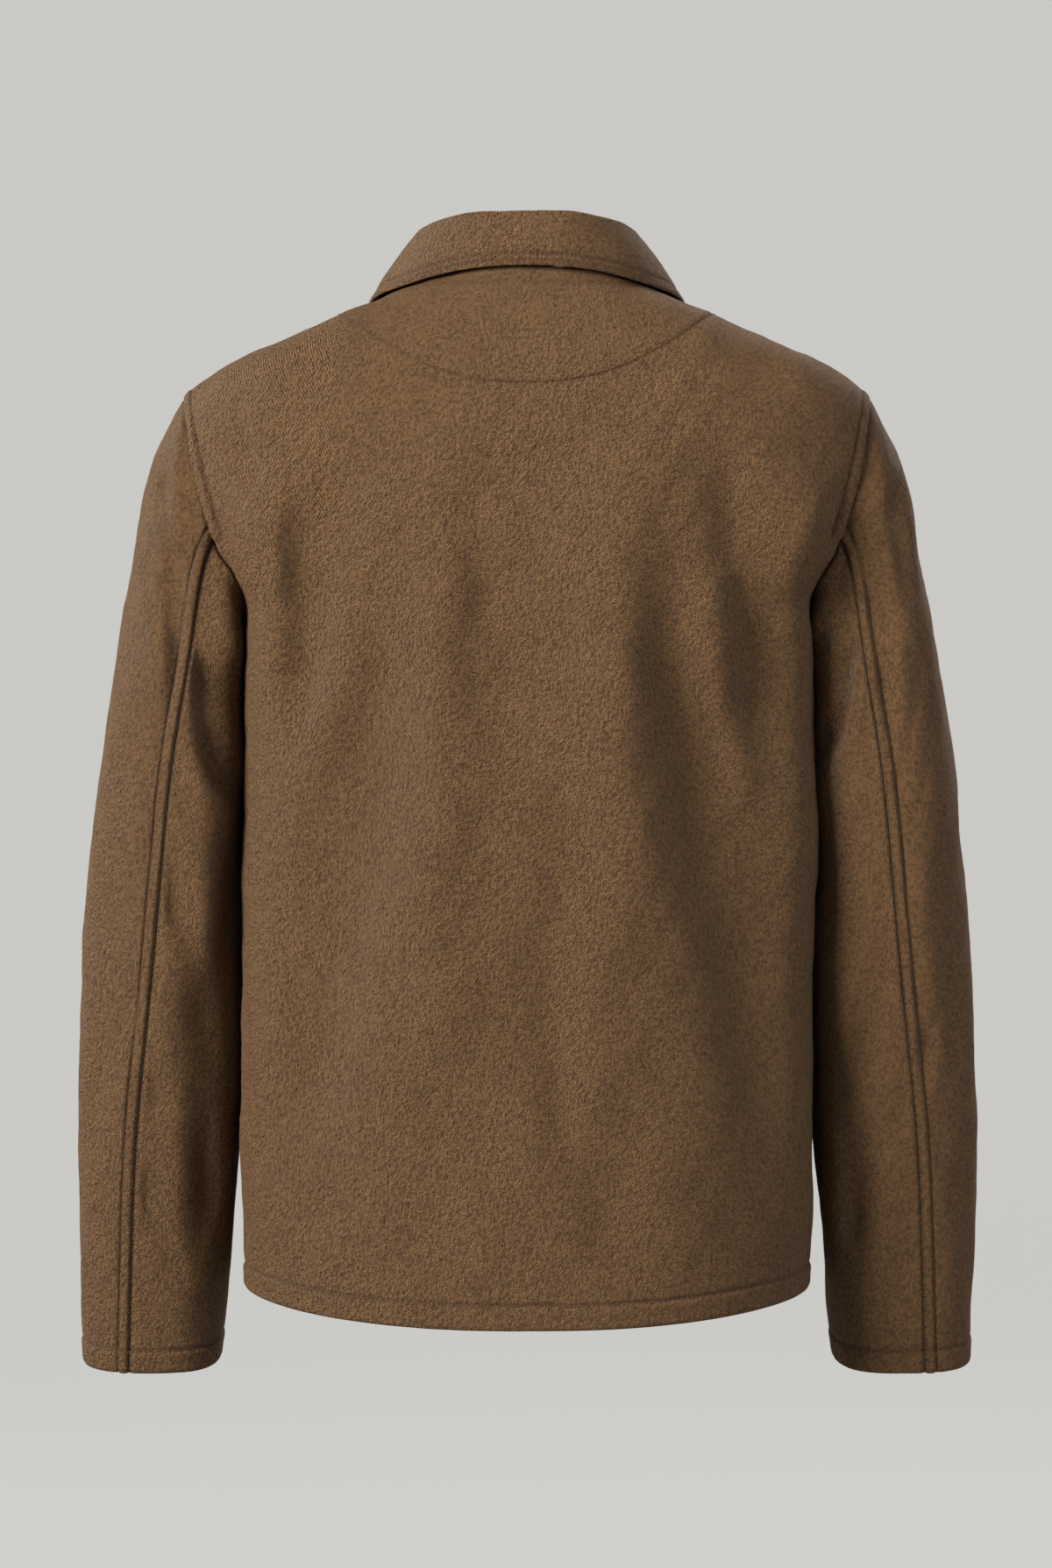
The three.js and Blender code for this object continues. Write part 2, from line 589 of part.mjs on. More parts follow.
function backRows(yoke) {
  const topHalf = [...OUTER_SHOULDER, ...yoke[0].slice(1, YOKE_SEAM_STEPS + 1)];
  const topRun = runOf(topHalf);
  const rows = SIDE_ROWS.map((edgeZ) => {
    const line = rowLine(edgeZ, 1, 0);
    const hidden = hiddenLength(line[0], edgeZ);
    return acrossBack(pickAlong(line, (length) => spreadColumns(length, hidden, topRun, edgeZ)));
  });
  return [...rows, acrossBack(topHalf)];
}

// The last columns of a front lie at set distances from the collar's end, so that the right front
// can sink under the left one between them.
function spreadFrontColumns(length, hidden, topRun, edgeZ) {
  const mainRun = topRun.slice(0, -2);
  const main = spreadColumns(length - LAP_START - LAP_RUN, hidden, mainRun, edgeZ);
  return [...main, length - LAP_START, length];
}

const LAP_START = LAP - COLLAR_END;

function lapPoints(z) {
  return [-LAP / 2, -LAP].map((x) => bodyPoint(x, z, -1));
}

// The left front's rows, each from its outer edge to the collar's end and on through the lap.
function frontRows() {
  const neckEndX = INNER_SHOULDER[YOKE_STEPS].x;
  const neckline = bodyLine(neckEndX, COLLAR_END, -1, NECK_POINT_Z, (x) => topEdgeZ(x, -1));
  const neck = pickAlong(neckline, (length) => [
    ...stepsBetween(0, length - LAP_START - LAP_RUN, NECK_STEPS),
    length - LAP_START,
    length,
  ]);
  const topRow = [...OUTER_SHOULDER, ...INNER_SHOULDER.slice(1), ...neck.slice(1)];
  const topRun = runOf(topRow);
  const rows = SIDE_ROWS.map((edgeZ) => {
    const line = rowLine(edgeZ, -1, COLLAR_END);
    const hidden = hiddenLength(line[0], edgeZ);
    return pickAlong(line, (length) => spreadFrontColumns(length, hidden, topRun, edgeZ));
  });
  return [...rows, topRow].map((row) => [...row, ...lapPoints(row[row.length - 1].z)]);
}

// ---------------------------------------------------------------- relief of the body

function bodyFoldRelief(p, side) {
  return BODY_FOLDS.filter((fold) => fold.side === side).reduce(
    (sum, f) => sum - f.depth * troughShare(p.x, p.z, f.topX, f.topZ, f.footX, f.footZ, f.width),
    0,
  );
}

// The armhole's welt rises between the foot of the sleeve's back seam and the shoulder.
function weltRelief(edgeZ) {
  return edgeZ > armholeZ(WELT_FOOT_ANGLE) && edgeZ < WELT_TOP_Z ? WELT_HEIGHT : 0;
}

function hemRelief(row) {
  return row < HEM_ROWS.length ? HEM_SWELL : 0;
}

// Relief of a body grid: folds inside it, the armhole's welt, and the hem.
function bodyRelief(points, side, weltColumns, flatFrom) {
  return points.map((row, i) =>
    row.map((p, j) => {
      const inside = j > 0 && j < flatFrom && i > 0 && i < points.length - 1;
      const welt = weltColumns.includes(j) ? weltRelief(SIDE_ROWS[i]) : 0;
      return (inside ? bodyFoldRelief(p, side) : 0) + hemRelief(i) + welt;
    }),
  );
}

function backPiece(yoke) {
  const points = backRows(yoke);
  const last = points[0].length - 1;
  const relief = bodyRelief(points, 1, [1, last - 1], last);
  return { name: "back", points, relief, wall: WALL, outward: awayFromAxis };
}

function yokePiece(yoke) {
  return { name: "back_yoke", points: yoke, wall: WALL, outward: awayFromAxis };
}

// The left front laps over the right one, which sinks under it past the start of the lap.
function frontPiece(name, laps) {
  const turned = laps ? (p) => p : mirrored;
  const level = frontRows().map((row) => row.map(turned));
  const sunkFrom = level[0].length - 4;
  const points = level.map((row) =>
    row.map((p, j) => {
      if (laps || j < sunkFrom) return p;
      return p.clone().addScaledVector(bodyNormal(p.x, p.z, -1), -LAP_SINK);
    }),
  );
  return {
    name,
    points,
    relief: bodyRelief(level, -1, [1], sunkFrom),
    wall: WALL,
    outward: awayFromAxis,
  };
}

function awayFromAxis(p) {
  return new THREE.Vector3(p.x, p.y, 0);
}

// ---------------------------------------------------------------- sleeves

const sleeveAt = (column, s) => readSmooth(SLEEVE_SECTIONS, "s", column, s);

function sleeveFacePoint(s, angle) {
  const out = (1 + Math.sin(radians(angle))) / 2;
  const back = Math.cos(radians(angle)) * sleeveAt("halfDepth", s);
  return new THREE.Vector3(
    mix(sleeveAt("innerX", s), sleeveAt("outerX", s), out),
    sleeveAt("middleY", s) + back,
    mix(sleeveAt("innerZ", s), sleeveAt("outerZ", s), out) - sleeveAt("lean", s) * back,
  );
}

// The armhole's points, from the front seam's foot round by the underarm, the back and the
// shoulder, to the front again, with their angles round the sleeve.
function armholeRing() {
  const place = (angle, side) => {
    const z = armholeZ(angle);
    const p = bodyPoint(edgeX(z, side), z, side);
    if (Math.abs(angle) === 90) p.y = 0;
    return p;
  };
  const back = ARMHOLE_ANGLES.map((angle) => ({ angle, p: place(angle, 1) }));
  const front = ARMHOLE_ANGLES.map((angle) => ({ angle: 180 - angle, p: place(angle, -1) }));
  return { back, front };
}

const RING = armholeRing();
const CUFF_LENGTH_SHARE = 600; // millimetres of sleeve for each unit of s, near the cuff
const CUFF_EDGE_ROWS = [
  1 - (HEM_DEPTH + HEM_STEP / 2) / CUFF_LENGTH_SHARE,
  1 - (HEM_DEPTH - HEM_STEP / 2) / CUFF_LENGTH_SHARE,
  1,
];
const SLEEVE_ROWS = [
  ...stepsBetween(0, CUFF_EDGE_ROWS[0], SLEEVE_STEPS),
  CUFF_EDGE_ROWS[1],
  CUFF_EDGE_ROWS[2],
];
const ARMHOLE_FADE = 0.3; // the sleeve takes its own round section by here

// One column down the sleeve: "start" is its place on the armhole, and "angleAt" gives its angle
// further down.
function sleeveColumn(start, angleAt) {
  const shift = start.p.clone().sub(sleeveFacePoint(0, start.angle));
  return SLEEVE_ROWS.map((s) => {
    const p = sleeveFacePoint(s, s === 0 ? start.angle : angleAt(s));
    return p.addScaledVector(shift, 1 - ease(s / ARMHOLE_FADE));
  });
}

const seamAngle = (column, s) => readSmooth(SLEEVE_SEAMS, "s", column, s);

// A column between two seams keeps its share of the way from one to the other.
function sharedColumn(start, from, to) {
  const share = (start.angle - from(0)) / (to(0) - from(0));
  return sleeveColumn(start, (s) => mix(from(s), to(s), share));
}

const backSeamAt = (s) => seamAngle("backSeam", s);
const frontSeamAt = (s) => seamAngle("frontSeam", s);
const weltAngleAt = (s, width) => {
  const half = (sleeveAt("outerX", s) - sleeveAt("innerX", s)) / 2;
  const armholeWidth = THREE.MathUtils.radToDeg(width / mix(68, half, ease(s / ARMHOLE_FADE)));
  return backSeamAt(s) + armholeWidth;
};

function topSleeveColumns() {
  const { back, front } = RING;
  const foot = UNDERARM_TO_WELT_STEPS;
  const crest = sleeveColumn(back[foot + 1], (s) => weltAngleAt(s, WELT_CREST));
  const edge = sleeveColumn(back[foot + 2], (s) => weltAngleAt(s, WELT_WIDTH));
  const weltEdgeAt = (s) => (s === 0 ? WELT_EDGE_ANGLE : weltAngleAt(s, WELT_WIDTH));
  return [
    sharedColumn(back[foot], backSeamAt, () => 90),
    crest,
    edge,
    ...back.slice(foot + 3).map((start) => sharedColumn(start, weltEdgeAt, () => 90)),
    ...front
      .slice(foot, -1)
      .reverse()
      .map((start) => sharedColumn(start, () => 90, frontSeamAt)),
  ];
}

function underSleeveColumns() {
  const { back, front } = RING;
  const foot = UNDERARM_TO_WELT_STEPS;
  const wrapped = (s) => frontSeamAt(s) - 360;
  return [
    ...front
      .slice(1, foot + 1)
      .reverse()
      .map((start) => ({ ...start, angle: start.angle - 360 }))
      .map((start) => sharedColumn(start, wrapped, () => -90)),
    ...back.slice(0, foot + 1).map((start) => sharedColumn(start, () => -90, backSeamAt)),
  ];
}

// The angle of a point round the sleeve, and how far down it lies, decide which troughs it is in.
function sleeveFoldRelief(p, s, side) {
  const middleX = (sleeveAt("innerX", s) + sleeveAt("outerX", s)) / 2;
  const out = (Math.abs(p.x) - middleX) / (sleeveAt("outerX", s) - sleeveAt("innerX", s));
  const back = (p.y - sleeveAt("middleY", s)) / sleeveAt("halfDepth", s) / 2;
  const angle = THREE.MathUtils.radToDeg(Math.atan2(out, back));
  const girth = 1.1; // millimetres round the sleeve for a degree
  const length = CUFF_LENGTH_SHARE;
  return SLEEVE_FOLDS.filter((fold) => fold.side === side).reduce((sum, f) => {
    const near = angle + 360 * Math.round(((f.topAngle + f.footAngle) / 2 - angle) / 360);
    const share = troughShare(
      near * girth,
      s * length,
      f.topAngle * girth,
      f.topS * length,
      f.footAngle * girth,
      f.footS * length,
      f.width,
    );
    return sum - f.depth * share;
  }, 0);
}

function sleevePiece(name, columns, side, welted) {
  const turned = side > 0 ? (p) => p : mirrored;
  const points = SLEEVE_ROWS.map((_, i) => columns.map((column) => turned(column[i])));
  const last = columns.length - 1;
  const relief = points.map((row, i) =>
    row.map((p, j) => {
      const s = SLEEVE_ROWS[i];
      const inside = j > 0 && j < last && i > 0;
      const welt = welted && j === 1 && i > 0 ? WELT_HEIGHT : 0;
      const cuff = s > CUFF_EDGE_ROWS[0] ? HEM_SWELL : 0;
      return (inside ? sleeveFoldRelief(p, s, side) : 0) + welt + cuff;
    }),
  );
  const outward = (p) => new THREE.Vector3(p.x - side * sleeveAt("outerX", 0.5) * 0.85, p.y, 0);
  return { name, points, relief, wall: WALL, outward };
}

// ---------------------------------------------------------------- collar

const collarAt = (table, turn) => {
  const [x, y, z] = ["x", "y", "z"].map((c) => readSmooth(table, "turn", c, Math.abs(turn)));
  return new THREE.Vector3(turn < 0 ? -x : x, y, z);
};

// The neckline's points, from the left end of the collar round the back to the right end.
function neckRing(leftFront, yoke, rightFront) {
  const top = (piece) => piece.points[piece.points.length - 1];
  const neckStart = OUTER_SHOULDER.length - 1 + YOKE_STEPS;
  const neckline = (front) => top(front).slice(neckStart, -2);
  return [
    ...neckline(leftFront).reverse(),
    ...top(yoke).slice(1, -1),
    ...neckline(rightFront),
  ];
}

// The frame in which the collar rolls at each point of the neckline: the fold, the way up the
// stand and the way out from the neck.
function collarFrames(ring) {
  return ring.map((neck) => {
    const turn = THREE.MathUtils.radToDeg(Math.atan2(neck.x, neck.y));
    const fold = collarAt(COLLAR_FOLD, turn);
    const step = 2;
    const round = collarAt(COLLAR_FOLD, turn + step).sub(collarAt(COLLAR_FOLD, turn - step));
    const up = fold.clone().sub(neck).normalize();
    const out = round.cross(up).normalize();
    if (out.dot(new THREE.Vector3(fold.x, fold.y, 0)) < 0) out.negate();
    return { neck, fold, up, out, edge: collarAt(COLLAR_EDGE, turn) };
  });
}

const offFold = ({ fold, up, out }, outwards, upwards) =>
  fold.clone().addScaledVector(out, outwards).addScaledVector(up, upwards);

function standPiece(frames) {
  const drop = FOLD_RADIUS + FOLD_LEAD + SEAM_GAP / 2;
  const top = (frame) => offFold(frame, COLLAR_WALL - FOLD_RADIUS, -drop);
  const points = stepsBetween(0, 1, STAND_STEPS).map((share) =>
    frames.map((frame) => frame.neck.clone().lerp(top(frame), share)),
  );
  return { name: "collar_stand", points, wall: COLLAR_WALL, outward: awayFromAxis };
}

function fallPiece(frames) {
  const roll = [180, 135, 90, 45, 0].map((angle) => [
    FOLD_RADIUS * Math.cos(radians(angle)),
    FOLD_RADIUS * (Math.sin(radians(angle)) - 1),
  ]);
  const lead = [-FOLD_RADIUS, -FOLD_RADIUS - FOLD_LEAD];
  const rollRows = [lead, ...roll].map(([outwards, upwards]) =>
    frames.map((frame) => offFold(frame, outwards, upwards)),
  );
  const lowRows = [
    { share: 0.35, bulge: 1.6 },
    { share: 0.7, bulge: 1.2 },
    { share: 1, bulge: 0 },
  ].map(({ share, bulge }) =>
    frames.map((frame) => {
      const from = offFold(frame, FOLD_RADIUS, -FOLD_RADIUS);
      return from.lerp(frame.edge, share).addScaledVector(frame.out, bulge);
    }),
  );
  return {
    name: "collar_fall",
    points: [...rollRows, ...lowRows].reverse(),
    wall: COLLAR_WALL,
    outward: awayFromAxis,
  };
}

// ---------------------------------------------------------------- buttons

function buttonGeometry() {
  const profile = [
    [0, 0],
    [BUTTON_RADIUS - BUTTON_RIM, 0],
    [BUTTON_RADIUS, BUTTON_RIM],
    [BUTTON_RADIUS, BUTTON_HEIGHT - BUTTON_RIM],
    [BUTTON_RADIUS - BUTTON_RIM, BUTTON_HEIGHT],
    [BUTTON_RADIUS * 0.6, BUTTON_HEIGHT - BUTTON_DISH],
    [0, BUTTON_HEIGHT - BUTTON_DISH],
  ].map(([radius, height]) => new THREE.Vector2(radius, height));
  return new THREE.LatheGeometry(profile, BUTTON_SIDES);
}

// A button lies flat on the left front, over the centre line.
function buttonMesh(number) {
  const z = FIRST_BUTTON_Z - (number - 1) * BUTTON_SPACING;
  const normal = bodyNormal(0, z, -1);
  const mesh = new THREE.Mesh(buttonGeometry(), new THREE.MeshStandardMaterial(HORN));
  mesh.name = "button_" + number;
  mesh.position.copy(bodyPoint(0, z, -1)).addScaledVector(normal, BUTTON_CLEARANCE);
  mesh.quaternion.setFromUnitVectors(new THREE.Vector3(0, 1, 0), normal);
  return mesh;
}

// ---------------------------------------------------------------- the jacket

function clothPieces() {
  const leftFront = frontPiece("front_left", true);
  const rightFront = frontPiece("front_right", false);
  const neckAndSeam = yokeRows();
  const yoke = yokePiece(neckAndSeam);
  const frames = collarFrames(neckRing(leftFront, yoke, rightFront));
  const top = topSleeveColumns();
  const under = underSleeveColumns();
  return [
    backPiece(neckAndSeam),
    yoke,
    leftFront,
    rightFront,
    sleevePiece("sleeve_left_top", top, 1, true),
    sleevePiece("sleeve_left_under", under, 1, false),
    sleevePiece("sleeve_right_top", top, -1, true),
    sleevePiece("sleeve_right_under", under, -1, false),
    standPiece(frames),
    fallPiece(frames),
  ];
}

function clothMeshes() {
  const pieces = clothPieces();
  for (const piece of pieces) piece.normals = gridNormals(piece.points, piece.outward);
  const seams = gatherSeamNormals(pieces);
  return pieces.map((piece) => {
    const mesh = new THREE.Mesh(
      wallGeometry(piece, seams),
      new THREE.MeshStandardMaterial(WOOL),
    );
    mesh.name = piece.name;
    return mesh;
  });
}

const jacket = new THREE.Group();
jacket.add(...clothMeshes());
for (let number = 1; number <= BUTTON_COUNT; number += 1) jacket.add(buttonMesh(number));

export default jacket;
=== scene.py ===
import math

import bmesh
import bpy
import numpy as np
from mathutils import Matrix, Vector


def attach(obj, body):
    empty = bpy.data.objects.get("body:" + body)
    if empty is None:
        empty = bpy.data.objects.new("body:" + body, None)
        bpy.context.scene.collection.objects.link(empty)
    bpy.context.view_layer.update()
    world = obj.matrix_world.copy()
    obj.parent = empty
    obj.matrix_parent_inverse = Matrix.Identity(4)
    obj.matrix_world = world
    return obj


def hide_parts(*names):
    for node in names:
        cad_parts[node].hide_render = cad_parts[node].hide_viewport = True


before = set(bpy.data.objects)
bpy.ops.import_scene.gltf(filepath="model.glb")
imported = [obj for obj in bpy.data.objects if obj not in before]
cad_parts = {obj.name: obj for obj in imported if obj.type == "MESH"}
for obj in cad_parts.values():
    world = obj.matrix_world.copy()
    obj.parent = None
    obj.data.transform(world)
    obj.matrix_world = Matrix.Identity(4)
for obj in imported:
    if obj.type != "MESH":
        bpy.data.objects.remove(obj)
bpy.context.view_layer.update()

bl_info = {
    "name": "Brushed wool shirt jacket",
    "version": (1, 0, 0),
    "blender": (4, 5, 0),
    "location": "View3D > Sidebar > Jacket",
    "description": "Builds a shirt jacket's panels, seams, stitches, buttons and studio stage",
    "category": "Add Mesh",
}

MM = 0.001  # every table and every length below is in millimetres

# ---------------------------------------------------------------- the cut's sizes

SIDE_HEM_Z = -658.0
UNDERARM_Z = -204.0
SHOULDER_TIP_Z = -65.0
YOKE_END_Z = -9.5
NECK_POINT_Z = 7.0
YOKE_SEAM_MIDDLE_Z = -65.6
BACK_NECK_MIDDLE_Z = 16.0
FRONT_NECK_MIDDLE_Z = -62.0
SAG_POWER = 2.3
ROW_SPREAD_POWER = 3.0
ARMHOLE_BOW = 0.09
FRONT_SCOOP = 10.0
SLEEVE_POWER = 2.7  # how square the sleeves' sections are; 2 is an ellipse
CORNER_EASE = 13.0  # how far the back stands out before it turns to its sides
CORNER_X = (176.0, 187.0)  # on the left and on the right
CORNER_RUN = 23.0
ARMHOLE_LAP = 2.3
ARM_EASE = 2.8  # how far the under sleeves swell towards the body
ARM_CORNER = 5.0  # and how far they stand out beside the armholes
WELT_FOOT_ANGLE = -24.0  # where the sleeve's back seam meets the armhole
SLEEVE_LENGTH = 600.0  # millimetres for one unit of s
SLEEVE_GIRTH = 1.1  # millimetres round the sleeve for a degree
ARMHOLE_FADE = 0.3

COLLAR_END = 3.0
LAP = 18.0
LAP_RUN = 14.0
FOLD_RADIUS = 4.2
FOLD_LEAD = 1.0

HEM_DEPTH = 16.0
WELT_WIDTH = 8.5
SLEEVE_WELT_WIDTH = 7.5
COLLAR_STITCH = 8.0
ROLL_WIDTH = 3.6  # the rolled edge of the collar
NECK_STITCH = 15.0  # the row of stitches on the yoke, below the collar
FRONT_STITCH = 7.0

FIRST_BUTTON_Z = -86.0
BUTTON_SPACING = 124.0
BUTTON_COUNT = 5
BUTTON_SIDES = 64
HOLE_OFFSET = 1.9  # of a button's four holes, from its middle
HOLE_RADIUS = 0.95
THREAD_SHIFT = 0.42  # between the threads of one stitch through a button
BUTTONHOLE_X = (8.0, 21.0)
BUTTON_PROFILE = (  # (radius, height): a flat back, a round rim and a dished middle
    (0.0, 0.0),
    (7.6, 0.0),
    (8.9, 0.25),
    (9.7, 0.9),
    (10.0, 1.7),
    (9.75, 2.5),
    (9.2, 3.1),
    (8.5, 3.38),
    (7.8, 3.36),
    (7.2, 3.1),
    (6.7, 2.7),
    (6.0, 2.45),
    (4.0, 2.4),
    (0.0, 2.4),
)

CALM_SEAM = 16.0  # the folds start this far from a seam
CALM_HEM = 60.0  # and are weaker this near to the hem
HEM_FOLD_SHARE = 0.35
SHOULDER_SLOPE = 2.8  # how far the cloth sinks below the outer end of the shoulder
SLOPE_X, SLOPE_WIDTH, SLOPE_REACH = 158.0, 30.0, 42.0
PINCH_DEPTH = 2.0  # the hem's stitches draw in beside the side seams
PINCH_WIDTH, PINCH_REACH = 3.4, 22.0
CORNER_TOP_Z, CORNER_FADE = -105.0, 60.0
LAP_REACH, LAP_FADE = 7.0, 30.0
WELT_FLAT_Z, WELT_FLAT_RUN = -105.0, 35.0
HEM_TURN = 1.5  # the turned-up cloth's thickness inside the hem
UNDER_LAP_X = 32.0  # the right front starts to sink here
ARM_EASE_ENDS = {True: 0.71, False: 0.64}  # on the left sleeve and on the right one
ARM_EASE_ANGLE, ARM_EASE_WIDTH = -90.0, 38.0
ARM_CORNER_ANGLE, ARM_CORNER_WIDTH = -58.0, 19.0
SLEEVE_SEEDS = {(True, True): 41, (True, False): 43, (False, True): 47, (False, False): 53}
YOKE_CALM = 14.0
COLLAR_EDGE_WALL = 1.3
COLLAR_BULGE = 1.9
STITCH_SINK = 0.16
EDGE_SWELL = 0.5
PAINTED_SHADE_WIDTH = 1.25  # of the painted shade line in a seam or along a row of stitches
WELT_FOOT_Z = -165.5  # the armhole's welt starts here
LAP_TOP_Z = -90.0  # the armhole is lapped below here
ARMHOLE_WELT_HEIGHT = 1.5
SLEEVE_WELT_HEIGHT = 0.95
FRONT_CALM_X = 32.0  # the front is flat from its edge to here
UNDER_LAP_GAP = 0.6  # between the left front and the right one under it
STITCH_RADIUS = 0.3
THREAD_RADIUS = 0.26
BUTTONHOLE_THREAD_RADIUS = 0.34
NEEDLE_TURNS = np.arange(3) * 2.0 * math.pi / 3
SPINDLE_TURNS = np.arange(4) * math.pi / 2

# The sections of the studio's sweep, in metres.
FLOOR_Z = -1.25
WALL_RADIUS = 5.0
WALL_BEND = 1.2
WALL_TOP_Z = 5.5


def smooth(share):
    """An eased step from 0 to 1."""
    share = np.clip(share, 0.0, 1.0)
    return share * share * (3.0 - 2.0 * share)


def mix(a, b, share):
    return a + (b - a) * share


def bell(d, at, width):
    """A round bump of height 1 over d, centred at a value."""
    return np.exp(-(((d - at) / width) ** 2))


def mirrored(half):
    """A row from one side to the centre line, and on to the other side."""
    return np.concatenate([half, half[-2::-1] * np.array([-1.0, 1.0, 1.0])])


class Table:
    """Rows of named columns, read along smooth curves through them."""

    def __init__(self, columns, rows):
        data = np.array(rows, dtype=float)
        self.key = data[:, 0]
        self.columns = dict(zip(columns, data.T))

    def at(self, column, value):
        key, data = self.key, self.columns[column]
        last = len(key) - 1
        low = np.maximum(np.arange(last + 1) - 1, 0)
        high = np.minimum(np.arange(last + 1) + 1, last)
        slope = (data[high] - data[low]) / (key[high] - key[low])
        x = np.clip(np.asarray(value, dtype=float), key[0], key[-1])
        i = np.clip(np.searchsorted(key, x) - 1, 0, last - 1)
        span = key[i + 1] - key[i]
        t = (x - key[i]) / span
        t2, t3 = t * t, t * t * t
        return (
            (2 * t3 - 3 * t2 + 1) * data[i]
            + (t3 - 2 * t2 + t) * span * slope[i]
            + (3 * t2 - 2 * t3) * data[i + 1]
            + (t3 - t2) * span * slope[i + 1]
        )


# Level sections of the body: half the width, the depths behind and in front, and the power of
# the superellipse.
BODY = Table(
    ("z", "half_width", "back", "front", "power"),
    (
        (-675, 189, 132.5, 130, 2.5),
        (-640, 190, 133, 130, 2.5),
        (-500, 190.5, 134, 130, 2.5),
        (-400, 190, 134, 130.5, 2.52),
        (-300, 188.5, 132.5, 131, 2.62),
        (-225, 187.5, 129.5, 129, 2.85),
        (-204, 189.5, 128.5, 128, 2.9),
        (-188, 202, 127.5, 127, 2.8),
        (-165, 221, 126, 125, 2.62),
        (-135, 237, 123, 120.5, 2.5),
        (-105, 243, 118, 113, 2.45),
        (-82, 240, 113, 104, 2.45),
        (-65, 230, 108, 95, 2.45),
        (-50, 212, 103.5, 85.5, 2.45),
        (-38, 191, 99.5, 77, 2.45),
        (-27, 167, 95, 68, 2.45),
        (-15, 140, 89, 59, 2.45),
        (-3, 107, 83, 50, 2.45),
        (7, 84, 77, 40, 2.45),
        (16, 62, 72, 28, 2.45),
    ),
)

# Where rows that start at a height on the side seam cross the centre line.
ROW_MIDDLES = {
    "edge": (-658.0, -400.0, -204.0),
    "back": (-672.0, -406.0, -212.0),
    "front": (-664.0, -404.0, -216.0),
}

# Sections of a sleeve, from the armhole to the cuff.
SLEEVE = Table(
    ("s", "inner_x", "inner_z", "outer_x", "outer_z", "half_depth", "middle_y", "lean"),
    (
        (0.0, 189.5, -204, 230, -65, 74, -5, 0),
        (0.06, 191.2, -216, 241, -88, 76, -4, 0),
        (0.12, 192, -231, 251, -113, 77.5, -3, 0),
        (0.2, 192.4, -256, 261.5, -158, 78.5, -1, 0),
        (0.3, 192.7, -300, 272.5, -214, 78, 2, 0),
        (0.4, 193, -348, 282, -278, 75, 3, 0.01),
        (0.5, 193.2, -400, 289.5, -345, 70.5, 2, 0.03),
        (0.6, 193.4, -452, 296, -415, 65.5, -1, 0.06),
        (0.7, 193.8, -510, 300.5, -485, 60.5, -7, 0.09),
        (0.8, 195.6, -570, 303.3, -556, 55.5, -14, 0.11),
        (0.9, 201, -638, 303.2, -632, 49.5, -22, 0.13),
        (1.0, 209, -714, 302, -713, 43.5, -31, 0.14),
    ),
)

# The angles of a sleeve's two seams: 0 at the back, 90 on the outer side.
SLEEVE_SEAMS = Table(
    ("s", "back", "front"),
    (
        (0.0, -24, 204),
        (0.2, -18, 205),
        (0.4, -7, 207),
        (0.6, 0, 209),
        (0.8, 10.5, 211),
        (1.0, 14.5, 212),
    ),
)

# The collar's top fold and lower edge, by the turn from the centre back.
COLLAR_FOLD = Table(
    ("turn", "x", "y", "z"),
    (
        (-30, -37, 54, 51.6),
        (0, 0, 61, 52.5),
        (30, 37, 54, 51.6),
        (60, 62, 33, 48.5),
        (90, 72, 0, 42),
        (120, 62, -40, 24),
        (150, 36, -74, -8),
        (180, 2, -91, -38),
    ),
)
COLLAR_EDGE = Table(
    ("turn", "x", "y", "z"),
    (
        (-30, -43.5, 72.2, 12.2),
        (0, 0, 78.0, 14.6),
        (30, 43.5, 72.2, 12.2),
        (60, 82, 49, 5.6),
        (90, 106, 4, 0.6),
        (120, 105.5, -52, -15),
        (150, 86, -94, -58),
        (180, 56, -114.5, -95),
    ),
)

# ---------------------------------------------------------------- folds, placed one by one

# Folds as (width, depth, path): troughs have a depth above 0 and ridges below 0. The path's
# points are (x, z) on the body and (s, angle) on the sleeves.
BACK_FOLDS = (
    (19, 8.2, ((118, -95), (124, -140), (137, -188), (143, -243), (149, -305))),
    (10, -4.0, ((162, -120), (161, -188), (162, -243), (158, -310))),
    (7, 2.6, ((190, -70), (181, -110), (176, -140))),
    (26, 11.0, ((84, -150), (93, -243), (98, -299), (110, -355), (121, -411), (137, -523), (147, -590))),
    (13, -3.8, ((114, -200), (120, -243), (134, -299), (152, -350), (156, -400))),
    (23, -5.6, ((52, -130), (57, -220), (58, -299), (64, -380), (60, -470), (66, -560))),
    (40, 5.0, ((10, -75), (6, -170), (4, -243), (-3, -320))),
    (15, 4.4, ((-24, -310), (-22, -400), (-16, -467), (-22, -523), (-29, -590))),
    (12, 2.2, ((33, -120), (29, -188), (33, -243))),
    (30, -7.0, ((-62, -100), (-56, -188), (-57, -243), (-56, -299), (-60, -380), (-68, -470))),
    (22, 10.5, ((-84, -150), (-97, -243), (-106, -299), (-118, -355), (-131, -411), (-143, -480),
        (-162, -575))),
    (14, -4.0, ((-106, -170), (-118, -243), (-134, -299), (-148, -365))),
    (15, 5.2, ((-121, -85), (-130, -131), (-138, -188), (-146, -243), (-154, -325))),
    (15, -6.5, ((-172, -150), (-174, -243), (-175, -330), (-178, -440))),
    (20, 2.0, ((60, -480), (52, -560), (60, -640))),
    (22, 2.4, ((-60, -520), (-54, -590), (-64, -650))),
)
